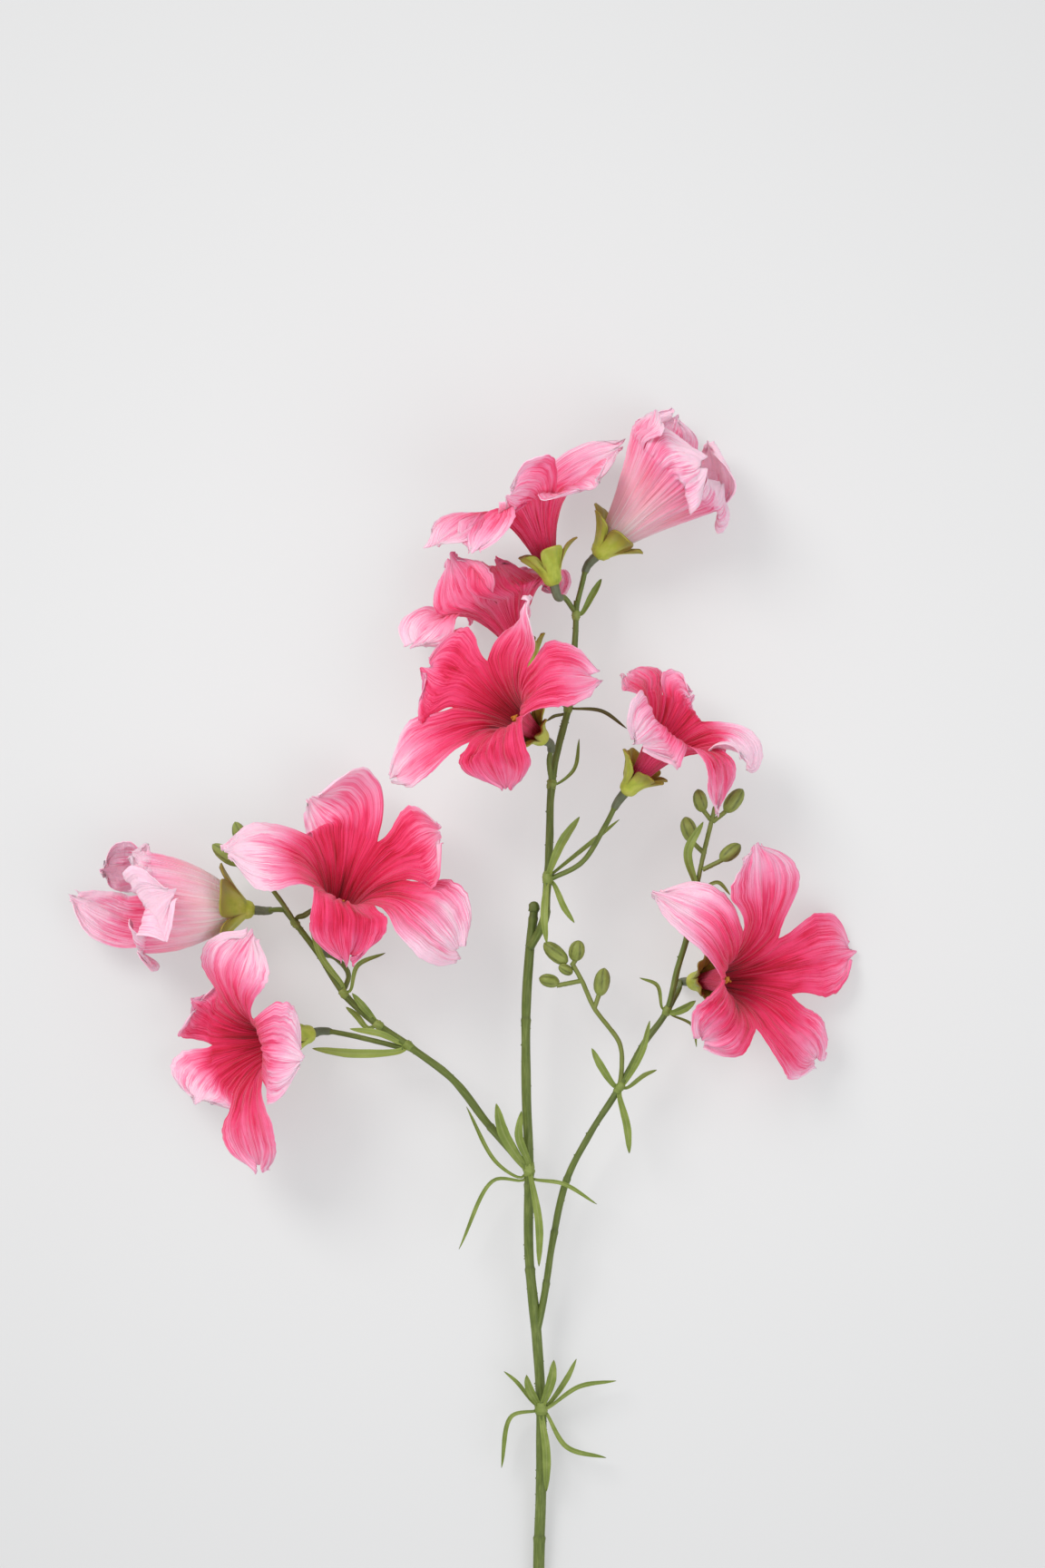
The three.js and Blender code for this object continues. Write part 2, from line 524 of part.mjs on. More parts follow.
// one narrow leaf, folded a little along its midrib
function leaf(path, width) {
  const steps = 5;
  const line = curve(path, steps);
  const points = line.flatMap((p, i) => {
    const t = i / steps;
    const along = unit(sub(line[Math.min(steps, i + 1)], line[Math.max(0, i - 1)]));
    const across = unit(cross(along, [0, 0, 1]));
    const rise = cross(across, along);
    const half = (width / 2) * (0.4 + 0.6 * sin(180 * t ** 0.8)) * (t === 1 ? 0.6 : 1);
    return [-1, 0, 1].map((v) => add(p, add(mul(across, v * half), mul(rise, Math.abs(v) * 0.3 * half))));
  });
  return cloth(points, weave(0, steps + 1, 3), LEAF);
}

// a collar round the stem with its leaves
function whorl({ stem: name, at, collar, leaves }, cutters) {
  const { route, from, to } = STEMS[name];
  const line = curve(route, 60);
  const nearest = line.reduce((best, p, i) => (len(sub(p, at)) < len(sub(line[best], at)) ? i : best), 0);
  const centre = line[nearest];
  const along = unit(sub(line[Math.min(60, nearest + 1)], line[Math.max(0, nearest - 1)]));
  const radius = from + ((to - from) * nearest) / 60 + 1.5;
  const ends = [-0.5, 0, 0.5].map((t) => add(centre, mul(along, t * collar)));
  const band = rod(ends, (t) => (t === 0.5 ? radius : radius - 0.5), 8);
  const blades = leaves.map(({ path, width }) => leaf([mix(centre, path[0], 0.3), ...path], width));
  return main(carve(join([band, ...blades]), cutters));
}

// ---------- assembly ----------
const bodies = {};
const cutters = {};
for (const [name, spec] of Object.entries(STEMS)) {
  bodies[name] = stem(spec);
  cutters[name] = stem(spec, GAP);
}
for (const name of ["left_branch", "right_branch"]) {
  bodies[name] = main(bodies[name].subtract(cutters.main_stem));
}
bodies.upper_stem = main(bodies.upper_stem.subtract(cutters.main_stem));

const blooms = FLOWERS.map((flower) => new Bloom(flower));
const stalkCutters = [];
blooms.forEach((bloom, i) => {
  const n = i + 1;
  bodies[`corolla_${n}`] = corolla(bloom);
  bodies[`calyx_${n}`] = calyx(bloom);
  bodies[`stamen_${n}`] = stamen(bloom);
  bodies[`pedicel_${n}`] = pedicel(bloom, STALKS[i], cutters[STALKS[i].parent]);
  const line = curve([...STALKS[i].route, bloom.point(0, -SEAT - 5, 0)], 8);
  stalkCutters.push(rod(line, () => STALK + GAP + 0.1, 7));
});

const sprigCutters = [];
for (const [name, sprig] of Object.entries(SPRIGS)) {
  bodies[name] = budSprig(sprig, cutters[sprig.parent]);
  sprig.twigs.forEach((twig) => {
    sprigCutters.push(rod(curve(twig, 2 * twig.length - 2), () => 0.9 + GAP, 6));
  });
}
for (const [name, spec] of Object.entries(WHORLS)) {
  bodies[name] = whorl(spec, [...Object.values(cutters), ...stalkCutters, ...sprigCutters]);
}

// ---------- out as meshes, resting on the table and centred over it ----------
const spray = new THREE.Group();
spray.name = "petunia_spray";
for (const [name, body] of Object.entries(bodies)) {
  const kind = Object.keys(FINISHES).find((word) => name.startsWith(word)) ?? "stem";
  const data = body.getMesh();
  const geometry = new THREE.BufferGeometry();
  geometry.setAttribute("position", new THREE.BufferAttribute(new Float32Array(data.vertProperties), 3));
  geometry.setIndex(Array.from(data.triVerts));
  const finish = new THREE.MeshStandardMaterial({ ...FINISHES[kind], metalness: 0 });
  const mesh = new THREE.Mesh(geometry, finish);
  mesh.name = name;
  spray.add(mesh);
}
const box = new THREE.Box3().setFromObject(spray);
const shift = [-(box.min.x + box.max.x) / 2, -(box.min.y + box.max.y) / 2, -box.min.z];
spray.children.forEach((mesh) => mesh.geometry.translate(...shift));

export default spray;
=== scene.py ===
"""Looks of the petunia spray: cloth blossoms, moulded calyxes, buds, leaves and stems.

Lay-out lengths are millimetres. Their zero lies under the main stem, 60 mm up from its cut end, with x
to the right, y up the spray and z up from the table; to_frame() turns them into the frame's metres.
"""
import math

import bpy
import numpy as np
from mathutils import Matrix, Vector


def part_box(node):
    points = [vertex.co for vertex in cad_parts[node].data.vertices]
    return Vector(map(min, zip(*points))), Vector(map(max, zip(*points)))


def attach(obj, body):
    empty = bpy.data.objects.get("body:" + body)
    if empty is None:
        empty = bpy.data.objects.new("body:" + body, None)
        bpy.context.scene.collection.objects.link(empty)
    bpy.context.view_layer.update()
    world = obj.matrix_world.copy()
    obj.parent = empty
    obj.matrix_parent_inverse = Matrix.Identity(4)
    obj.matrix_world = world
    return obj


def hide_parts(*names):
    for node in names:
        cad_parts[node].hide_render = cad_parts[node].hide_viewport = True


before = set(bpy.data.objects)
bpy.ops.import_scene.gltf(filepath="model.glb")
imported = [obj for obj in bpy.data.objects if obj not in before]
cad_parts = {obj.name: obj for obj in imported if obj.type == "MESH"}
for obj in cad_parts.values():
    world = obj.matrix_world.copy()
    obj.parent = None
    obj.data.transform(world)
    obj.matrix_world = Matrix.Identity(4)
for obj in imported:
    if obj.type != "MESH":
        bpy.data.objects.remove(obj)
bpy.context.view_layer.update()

MM = 0.001
FUNNEL_STEPS = 32              # steps along the wall when a funnel's profile is drawn
SEAT = 3.4                     # how far a calyx reaches below its corolla
SLEEVE_LENGTH = 8.0            # dark sleeve at the end of each flower stalk
STALK = 1.05                   # radius of a flower stalk
CLOTH = 0.35                   # thickness of the corolla cloth
SEPAL = 0.7                    # thickness of a sepal
LEAF = 0.55                    # thickness of a leaf along its middle
TWIG = 0.95                    # radius of the twig that a bud sits on
FULLNESS = 1.12                # how much wider the ruffled cloth spreads than its flat pattern
BUD_SLIMNESS = 0.88            # a bud's radius as a share of its lay-out radius
STAMEN_SHARE = 0.55            # how much of the funnel's depth the stamen fills
STAMEN_DROP = 0.1              # how far the stamen's foot lies below the funnel's base
USUAL_TINT = 0.35              # tint of the whorls, except for the leaves that TINTS lists
ROUTE_STEPS = 240              # steps along a stem when the place of a whorl is looked for

# ---------------------------------------------------------------- lay-out
# Each petal: place round the rim, tip, width, twist, cup, and how pale it is
FLOWERS = {
    1: dict(base=(24, 404, 24), heading=47, tilt=8, tube=46, flare=30, neck=3, lean=20, power=1, bow=0.4,
            pale=0.60, petals=[
        (15, (44, 458, 34), 34, 0, 0.2, -0.15), (85, (64, 437, 48), 34, 0, 0.3, -0.05),
        (155, (71, 429, 28), 28, 0, 0.2, 0.0), (225, (67, 447, 14), 28, 0, 0.1, 0.15),
        (300, (54, 459, 12), 28, 0, 0.1, -0.1)]),
    2: dict(base=(4, 393, 36), heading=107, tilt=3, tube=34, flare=52, lean=12, bow=0.3, pale=0.0, petals=[
        (5, (-43, 404, 44), 30, 35, 0, 0.05), (45, (-27, 402, 57), 30, 5, 0, 0.0),
        (97, (-14, 424, 62), 34, 0, 0.2, 0.0), (155, (19, 427, 56), 34, -20, 0.2, 0.0),
        (240, (32, 446, 16), 22, -40, 0, 0.1)]),
    3: dict(base=(-5, 356, 18), heading=112, tilt=4, tube=34, flare=56, pale=0.0, petals=[
        (10, (-51, 366, 28), 32, 40, 0, 0.10), (55, (-35, 400, 30), 30, 10, 0, -0.12),
        (112, (-19, 400, 25), 36, -30, 0, -0.25), (195, (0, 391, 8), 22, -10, 0, 0.0),
        (280, (-28, 389, 5), 24, 0, 0, 0.0)]),
    4: dict(base=(-1, 330, 38), heading=143, tilt=45, tube=38, flare=64, pale=0.0, petals=[
        (338, (-58, 314, 46), 28, -5, 0, 0.06), (50, (-14, 310, 66), 27, -5, 0, -0.22),
        (276, (-46, 357, 44), 38, -10, 0, -0.2), (190, (-5, 384, 60), 24, 60, 0, 0.05),
        (140, (21, 353, 68), 27, -5, 0, -0.12)]),
    5: dict(base=(35, 310, 34), heading=52, tilt=20, tube=38, flare=56, pale=0.0, petals=[
        (340, (33, 355, 38), 36, 10, 0, -0.1), (285, (60, 346, 26), 24, 0, 0, 0.0),
        (215, (81, 318, 44), 28, -10, 0, 0.38), (150, (69, 301, 50), 18, 0, 0, -0.1),
        (78, (38, 327, 64), 30, 40, 0, 0.15)]),
    6: dict(base=(62, 232, 9), heading=5, tilt=46, tube=40, flare=66, pale=0.0, petals=[
        (352, (85, 287, 36), 33, 10, 0, 0.0), (45, (44, 268, 46), 26, -20, 0, 0.12),
        (128, (63, 210, 46), 27, 0, 0, -0.10), (210, (111, 200, 10), 26, -10, 0, 0.0),
        (282, (125, 244, 2), 30, 0, 0, -0.15)]),
    7: dict(base=(-85, 250, 12), heading=70, tilt=40, tube=44, flare=62, pale=0.0, petals=[
        (15, (-124, 284, 46), 36, 0, -0.2, 0.28), (290, (-91, 305, 24), 37, 5, 0, 0.10),
        (220, (-41, 291, 32), 36, 0, 0, -0.08), (160, (-32, 245, 42), 38, 0, 0, 0.12),
        (100, (-76, 241, 52), 27, 0, 0, -0.28)]),
    # blossom 8's pale is partly its cream colour and partly painted light, lifting the inside of its funnel
    # where little light reaches
    8: dict(base=(-118, 261, 19), heading=176, tilt=8, tube=44, flare=4, lean=44, power=1, bow=0.4,
            pale=0.72, petals=[
        (15, (-161, 246, 27), 30, 0, 0.2, 0.0), (85, (-145, 268, 49), 30, 0, 0.2, 0.25),
        (155, (-161, 283, 33), 30, 0, 0.1, 0.0), (225, (-177, 277, 13), 26, 0, 0, 0.0),
        (300, (-187, 265, 9), 22, 0, 0, -0.05)]),
    9: dict(base=(-94, 211, 16), heading=190, tilt=35, tube=38, flare=64, pale=0.0, petals=[
        (165, (-114, 252, 42), 34, -15, 0, 0.10), (225, (-138, 224, 26), 28, -20, 0, -0.08),
        (300, (-136, 185, 20), 36, 0, 0, 0.20), (5, (-112, 159, 34), 30, 10, 0, -0.08),
        (85, (-93, 203, 56), 37, 0, 0, 0.12)]),
}

# "joins" are the heights up the lay-out where one moulding ends and the next begins
STEMS = {
    "main_stem": dict(start=2.1, end=1.7, joins=(10, 118, 152, 218, 259), route=[
        (-1, -60, 2.4), (-1, -4, 3), (0, 54, 8), (-2, 91, 11), (-5, 124, 14), (-5, 157, 17), (-6, 190, 20),
        (-6, 226, 23), (-3, 262, 26)]),
    "upper_stem": dict(start=1.7, end=1.1, joins=(262, 311, 341), route=[
        (-4.5, 246, 25.5), (1, 257, 29.5), (2, 267, 28.5), (3, 284, 27), (4, 311, 26), (7, 327, 25),
        (11, 343, 24), (13, 363, 24), (14, 384, 24)]),
    "left_branch": dict(start=1.6, end=1.1, joins=(175, 207, 228), route=[
        (-5, 157, 17), (-21, 175, 20), (-35, 193, 22), (-53, 207, 24), (-66, 216, 25), (-78, 227, 26),
        (-89, 244, 26), (-102, 261, 26)]),
    "right_branch": dict(start=1.4, end=1.1, joins=(113, 133, 155, 222, 251), route=[
        (-2, 91, 11), (1, 106, 13), (5, 131, 15), (10, 153, 17), (19, 171, 19), (31, 190, 21),
        (41, 208, 22), (50, 221, 22), (54, 237, 23), (58, 251, 25), (62, 273, 27)]),
}

STALKS = {
    1: [(14, 382, 24), (16, 390, 23)],
    2: [(13, 380, 24), (9, 385, 30)],
    3: [(11, 341, 24), (6, 345, 20)],
    4: [(4, 312, 26), (3, 320, 30)],
    5: [(3, 273, 28), (16, 280, 30), (25, 294, 31)],
    6: [(51, 222, 22), (55, 229, 14)],
    7: [(-79, 228, 26), (-77, 235, 18), (-82, 241, 9)],
    8: [(-101, 261, 26), (-106, 261, 22)],
    9: [(-55, 206, 24), (-68, 209, 20), (-78, 211, 14)],
}

SPRIGS = {
    "bud_sprig_centre": dict(
        twigs=[[(31, 190, 21), (32, 199, 23), (31, 208, 25), (21, 222, 28), (16, 233, 29), (12, 240, 30)],
               [(21, 222, 28), (23, 228, 28)], [(16, 233, 29), (6, 231, 29)],
               [(12, 239, 30), (14, 242, 31)]],
        buds=[((10, 240, 30), (1, 248, 28), 3.6), ((13, 241, 30), (15, 249, 33), 3.6),
              ((7, 232, 29), (-1, 234, 29), 3.0), ((12, 236, 29), (7, 239, 33), 2.4),
              ((23, 227, 28), (25, 238, 27), 3.6)]),
    "bud_sprig_right": dict(
        twigs=[[(62, 272, 27), (65, 286, 28), (68, 298, 28), (69, 302, 28)], [(67, 297, 28), (64, 301, 29)],
               [(68, 296, 28), (73, 300, 28)], [(65, 283, 28), (60, 288, 27)],
               [(64, 277, 28), (72, 281, 29)]],
        buds=[((64, 300, 29), (62, 309, 30), 3.2), ((73, 300, 28), (80, 309, 27), 3.6),
              ((60, 288, 27), (57, 298, 27), 3.6), ((71, 281, 29), (79, 287, 29), 3.4)]),
    "bud_sprig_left": dict(
        twigs=[[(-96, 253, 26), (-103, 264, 30), (-112, 276, 27), (-117, 284, 25)],
               [(-112, 276, 27), (-121, 279, 25)]],
        buds=[((-117, 284, 25), (-122, 296, 24), 3.4), ((-120, 279, 25), (-131, 287, 24), 3.4)]),
}

# Leaf whorls: the stem, the place on it, the collar's length, and each leaf's route and width
WHORLS = {
    "a": ("main_stem", (0, 61, 8.5), 5, [
        ([(-2, 60, 9), (-12, 58, 11), (-16, 37, 8)], 1.8), ([(2, 59, 9), (10, 46, 12), (26, 41, 8)], 2.0),
        ([(0, 58, 10), (2, 44, 13), (2, 28, 11)], 3.2), ([(-3, 63, 9), (-10, 72, 12), (-15, 76, 11)], 1.6),
        ([(-2, 64, 11), (-5, 70, 15), (-6, 75, 17)], 3.2), ([(1, 64, 11), (4, 73, 15), (5, 81, 17)], 3.6),
        ([(3, 63, 10), (10, 73, 12), (14, 81, 12)], 2.2), ([(2, 61, 10), (15, 70, 12), (30, 72, 9)], 1.8)]),
    "b": ("main_stem", (-5, 157, 17), 6, [
        ([(-7, 159, 19), (-15, 172, 25), (-18, 184, 28)], 4.3),
        ([(-7, 160, 17), (-15, 170, 16), (-17, 178, 15)], 3.0),
        ([(-5, 160, 20), (-9, 171, 25), (-8, 181, 27)], 3.2),
        ([(-8, 154, 17), (-18, 160, 16), (-30, 182, 12)], 1.6),
        ([(-7, 153, 17), (-19, 153, 18), (-33, 125, 13)], 1.6),
        ([(-4, 154, 19), (9, 152, 25), (22, 144, 26)], 1.6),
        ([(-4, 153, 20), (-1, 136, 24), (-1, 119, 22)], 3.0)]),
    "c": ("right_branch", (31, 190, 21), 5, [
        ([(29, 191, 22), (23, 200, 26), (20, 206, 27)], 2.9),
        ([(33, 192, 22), (40, 205, 27), (43, 217, 28)], 2.5),
        ([(34, 190, 21), (41, 195, 20), (46, 197, 18)], 1.8),
        ([(31, 187, 22), (34, 175, 24), (35, 164, 22)], 2.9)]),
    "d": ("right_branch", (50, 221, 22), 4, [
        ([(48, 222, 23), (46, 231, 25), (39, 234, 26)], 1.5),
        ([(52, 220, 24), (57, 222, 28), (61, 225, 31)], 3.0),
        ([(52, 219, 22), (60, 215, 20), (62, 206, 16)], 1.2)]),
    "e": ("right_branch", (61, 269, 26.6), 4, [
        ([(61, 272, 28), (58, 284, 32), (64, 296, 34)], 3.4),
        ([(63, 269, 27), (70, 272, 28), (75, 267, 27)], 1.5)]),
    "f": ("upper_stem", (3, 274, 27.8), 5, [
        ([(3, 276, 30), (8, 288, 34), (15, 298, 35)], 3.4),
        ([(5, 276, 27), (20, 288, 25), (31, 297, 26)], 1.8),
        ([(2, 271, 30), (1, 258, 36), (2, 248, 37)], 2.9),
        ([(5, 271, 28), (9, 262, 30), (13, 256, 30)], 2.4)]),
    "g": ("upper_stem", (4, 311, 26), 4, [([(6, 311, 26), (13, 317, 25), (15, 329, 24)], 1.5)]),
    "h": ("upper_stem", (11, 341, 24), 4, [
        ([(13, 341, 25), (24, 340, 27), (34, 333, 26)], 1.5),
        ([(9, 339, 24), (5, 338, 24), (2, 336, 25)], 1.3)]),
    "i": ("upper_stem", (14, 378, 24), 4, [([(16, 379, 23), (20, 386, 19), (24, 393, 13)], 2.6)]),
    "j": ("left_branch", (-78, 228, 26), 4, [
        ([(-76, 229, 27), (-73, 239, 29), (-62, 244, 30)], 1.8),
        ([(-79, 231, 27), (-87, 242, 31), (-92, 256, 31)], 2.5)]),
    "k": ("left_branch", (-65, 215, 25), 4, [
        ([(-67, 218, 26), (-71, 223, 30), (-75, 228, 33)], 2.8),
        ([(-69, 214, 25), (-74, 219, 20), (-78, 222, 17)], 2.4)]),
    "l": ("left_branch", (-53, 207, 24), 4, [
        ([(-56, 205, 25), (-74, 204, 27), (-91, 206, 28)], 3.4),
        ([(-56, 208, 25), (-64, 212, 30), (-76, 214, 32)], 2.5)]),
    "m": ("left_branch", (-98, 256, 26), 4, [([(-97, 258, 28), (-94, 259, 31), (-90, 262, 33)], 2.2)]),
}


# ---------------------------------------------------------------- small maths
def smooth(t):
    t = np.clip(t, 0.0, 1.0)
    return t * t * (3 - 2 * t)


def unit(v):
    v = np.asarray(v, float)
    return v / np.linalg.norm(v, axis=-1, keepdims=True)


def dot(a, b):
    return np.sum(a * b, axis=-1, keepdims=True)


def lattice(seed, x, y, columns, rows):
    """Value noise from 0 to 1; x wraps every 1, y runs from 0 to 1"""
    table = np.random.RandomState(seed).rand(rows + 1, columns)
    cx = (x % 1.0) * columns
    cy = np.clip(y, 0, 0.9999) * rows
    ix, iy = cx.astype(int), cy.astype(int)
    fx, fy = smooth(cx - ix), smooth(cy - iy)
    ix, jx = ix % columns, (ix + 1) % columns
    low = table[iy, ix] * (1 - fx) + table[iy, jx] * fx
    high = table[iy + 1, ix] * (1 - fx) + table[iy + 1, jx] * fx
    return low * (1 - fy) + high * fy


def curve(points, steps):
    """Centripetal Catmull-Rom curve through the points, in equal steps"""
    p = np.asarray(points, float)
    p = np.vstack([2 * p[0] - p[1], p, 2 * p[-1] - p[-2]])
    knots = np.concatenate([[0], np.cumsum(np.sqrt(np.linalg.norm(np.diff(p, axis=0), axis=1)))])
    dense = []
    for k in range(1, len(p) - 2):
        t = np.linspace(knots[k], knots[k + 1], 24, endpoint=False)[:, None]
        a = [((knots[k + i] - t) * p[k + i - 1] + (t - knots[k + i - 1]) * p[k + i])
             / (knots[k + i] - knots[k + i - 1]) for i in range(3)]
        b = [((knots[k + i + 1] - t) * a[i] + (t - knots[k + i - 1]) * a[i + 1])
             / (knots[k + i + 1] - knots[k + i - 1]) for i in range(2)]
        dense.append(((knots[k + 1] - t) * b[0] + (t - knots[k]) * b[1]) / (knots[k + 1] - knots[k]))
    dense = np.vstack(dense + [p[-2][None]])
    run = np.concatenate([[0], np.cumsum(np.linalg.norm(np.diff(dense, axis=0), axis=1))])
    at = np.linspace(0, run[-1], steps + 1)
    return np.stack([np.interp(at, run, dense[:, c]) for c in range(3)], axis=1)


def length_of(line):
    return float(np.sum(np.linalg.norm(np.diff(line, axis=0), axis=1)))


# ---------------------------------------------------------------- the funnel of a blossom
class Bloom:
    """One blossom: the profile of its funnel, and its petals"""
    def __init__(self, number):
        spec = FLOWERS[number]
        self.number = number
        self.base = np.array(spec["base"], float)
        h, t = math.radians(spec["heading"]), math.radians(spec["tilt"])
        self.axis = np.array([math.cos(h) * math.cos(t), math.sin(h) * math.cos(t), math.sin(t)])
        self.side = np.array([-math.sin(h), math.cos(h), 0.0])
        self.up = np.array([-math.cos(h) * math.sin(t), -math.sin(h) * math.sin(t), math.cos(t)])
        self.flare = math.radians(spec["flare"])
        self.bow = spec.get("bow", 0.5)
        self.pale = spec["pale"]
        lean, power, tube = spec.get("lean", 9), spec.get("power", 2), spec["tube"]
        s = (np.arange(FUNNEL_STEPS) + 0.5) / FUNNEL_STEPS
        slope = np.radians(lean + (spec["flare"] - lean) * s ** power)
        widening = np.concatenate([[0], np.cumsum(np.sin(slope))]) * tube / FUNNEL_STEPS
        self.r = spec.get("neck", 2.4) + widening
        self.h = np.concatenate([[0], np.cumsum(np.cos(slope))]) * tube / FUNNEL_STEPS
        self.petals = sorted(spec["petals"])

    def radial(self, turn):
        a = np.radians(turn)[..., None]
        return np.cos(a) * self.side + np.sin(a) * self.up

    def point(self, r, h, turn):
        r, h, turn = np.broadcast_arrays(*(np.asarray(value, float) for value in (r, h, turn)))
        return self.base + self.axis * h[..., None] + self.radial(turn) * r[..., None]

    def funnel(self, s, turn):
        steps = np.arange(FUNNEL_STEPS + 1) / FUNNEL_STEPS
        return self.point(np.interp(s, steps, self.r), np.interp(s, steps, self.h), turn)

    def radius_at(self, h):
        return np.interp(h, self.h, self.r)

    def notches(self, i):
        n = len(self.petals)
        me = self.petals[i][0]
        before = self.petals[i - 1][0] - (360 if i == 0 else 0)
        after = self.petals[(i + 1) % n][0] + (360 if i == n - 1 else 0)
        return (before + me) / 2, (me + after) / 2

    def petal(self, i, u, v):
        """Points of petal i: u runs from the rim to the tip, v from edge to edge (arrays)"""
        turn, tip, width, twist, cup, _ = self.petals[i]
        a, b = self.notches(i)
        u, v = np.asarray(u, float)[..., None], np.asarray(v, float)[..., None]
        root = self.funnel(1.0, float(turn))
        start = self.axis * math.cos(self.flare) + self.radial(np.array(float(turn))) * math.sin(self.flare)
        tip = np.array(tip, float)
        bend = root + start * (np.linalg.norm(tip - root) * self.bow)
        mid = root * (1 - u) ** 2 + bend * (2 * u * (1 - u)) + tip * u ** 2
        along = unit((bend - root) * (1 - u) + (tip - bend) * u)
        t = math.radians(turn)
        tangent = -math.sin(t) * self.side + math.cos(t) * self.up
        flat = unit(tangent - along * dot(along, tangent))
        outward = np.cross(flat, along)
        w = math.radians(twist) * smooth(u)
        across = flat * np.cos(w) + outward * np.sin(w)
        out = outward * np.cos(w) - flat * np.sin(w)
        full, widest = width / 2 * FULLNESS, 0.5
        rim_half = self.r[-1] * math.sin(math.radians(min(b - a, 120)) / 2)
        rising = rim_half + (full - rim_half) * np.sin(np.pi / 2 * np.clip(u / widest, 0, 1)) ** 0.8
        late = np.clip((u - widest) / (1 - widest), 0, 1)
        point = 0.55 + 0.40 * ((self.number * 7 + i * 3) % 5) / 4
        half = np.where(u < widest, rising, full * np.maximum(0.20, (1 - late ** 2.4) ** point))
        rim = self.funnel(1.0, (a + b) / 2 + v[..., 0] * (b - a) / 2)
        open_ = mid + across * (v * half) - out * (cup * half * v * v * smooth(u / 0.4))
        k = smooth(u / 0.45)
        return (rim + mid - root) * (1 - k) + open_ * k


BLOOMS = {n: Bloom(n) for n in FLOWERS}


def origin_in_frame():
    """Where the lay-out's zero lies in the frame, from the nine stamens' places"""
    found = []
    for n, bloom in BLOOMS.items():
        low, high = (np.array(c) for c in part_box(f"stamen_{n}"))
        middle = bloom.base + bloom.axis * (0.5 * STAMEN_SHARE * bloom.h[-1] - STAMEN_DROP)
        found.append((low + high) / 2 - middle * MM)
    return np.mean(found, axis=0)


ORIGIN = origin_in_frame()


def to_frame(points):
    return np.asarray(points, float) * MM + ORIGIN


# ---------------------------------------------------------------- meshes
def make_mesh(name, points, faces):
    mesh = bpy.data.meshes.new(name)
    mesh.from_pydata(np.asarray(points).tolist(), [], faces)
    mesh.validate()
    mesh.polygons.foreach_set("use_smooth", [True] * len(mesh.polygons))
    return mesh


def set_attribute(mesh, name, values):
    values = np.asarray(values, float)
    kind = "FLOAT_VECTOR" if values.ndim == 2 else "FLOAT"
    layer = mesh.attributes.new(name, kind, "POINT")
    layer.data.foreach_set("vector" if values.ndim == 2 else "value", values.ravel())


def add_piece(name, mesh, materials, nodes):
    piece = bpy.data.objects.new(name, mesh)
    bpy.context.scene.collection.objects.link(piece)
    for material in materials:
        mesh.materials.append(material)
    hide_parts(*nodes)
    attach(piece, "root")
    return piece


def grid_faces(rows, columns, first=0, wraps=False):
    i, j = np.meshgrid(np.arange(rows - 1), np.arange(columns if wraps else columns - 1), indexing="ij")
    i, j = i.ravel(), j.ravel()
    n = (j + 1) % columns
    below, above = i * columns, (i + 1) * columns
    return np.stack([below + j, below + n, above + n, above + j], axis=1) + first


def rod_faces(rings, sides):
    """Faces between closed rings, and a fan to each of the two end points that follow the rings"""
    n = rings * sides
    faces = grid_faces(rings, sides, wraps=True).tolist()
    for k in range(sides):
        j = (k + 1) % sides
        faces.append([n, j, k])
        faces.append([n + 1, n - sides + k, n - sides + j])
    return faces


class Body:
    """Gathers parts of one mesh with their attributes"""
    def __init__(self):
        self.points, self.faces, self.values = [], [], {}
        self.count = 0

    def add(self, points, faces, **values):
        points = np.asarray(points, float).reshape(-1, 3)
        self.points.append(points)
        self.faces.extend([[int(k) + self.count for k in face] for face in faces])
        for name, value in values.items():
            value = np.asarray(value, float)
            if value.ndim == 0:
                value = np.full(len(points), float(value))
            self.values.setdefault(name, []).append(value)
        self.count += len(points)

    def mesh(self, name):
        mesh = make_mesh(name, to_frame(np.vstack(self.points)), self.faces)
        for key, parts in self.values.items():
            set_attribute(mesh, key, np.concatenate(parts))
        return mesh


def tube(body, line, radii, sides=20, ribs=0.0, rib_count=2, tone=0.0, wobble=0.0, seed=0):
    """Closed round rod along a line of points, with lengthwise ribs and a hand-made wobble"""
    line = np.asarray(line, float)
    radii = np.broadcast_to(np.asarray(radii, float), (len(line),))
    along = unit(np.gradient(line, axis=0))
    run = np.concatenate([[0], np.cumsum(np.linalg.norm(np.diff(line, axis=0), axis=1))])
    angle = np.arange(sides) * 2 * math.pi / sides
    side = np.array([0, 0, 1.0]) if abs(along[0][2]) < 0.9 else np.array([1.0, 0, 0])
    rings = []
    share = run / max(run[-1], 1e-6)
    for k, (p, d) in enumerate(zip(line, along)):
        side = unit(side - d * np.dot(side, d))
        other = np.cross(d, side)
        uneven = lattice(seed, angle / (2 * math.pi), np.full(sides, share[k]), 5, 24) - 0.5
        shape = 1 + ribs * np.maximum(0, np.cos(rib_count * angle)) ** 6 + wobble * uneven
        r = radii[k] * shape
        rings.append(p + np.outer(r * np.cos(angle), side) + np.outer(r * np.sin(angle), other))
    points = np.vstack(rings + [line[:1], line[-1:]])
    round_it = np.tile(np.stack([np.cos(angle), np.sin(angle)], axis=1), (len(line), 1))
    grain = np.column_stack([round_it, np.repeat(run, sides)])
    grain = np.vstack([grain, [[0, 0, 0]], [[0, 0, run[-1]]]])
    tones = np.asarray(tone, float)
    tones = np.full(len(line), float(tones)) if tones.ndim == 0 else tones
    tones = np.concatenate([np.repeat(tones, sides), tones[:1], tones[-1:]])
    body.add(points, rod_faces(len(line), sides), grain=grain, tone=tones, tint=USUAL_TINT)


# ---------------------------------------------------------------- materials
def new_material(name):
    material = bpy.data.materials.new(name)
    material.use_nodes = True
    tree = material.node_tree
    shader = tree.nodes["Principled BSDF"]
    return material, tree, shader


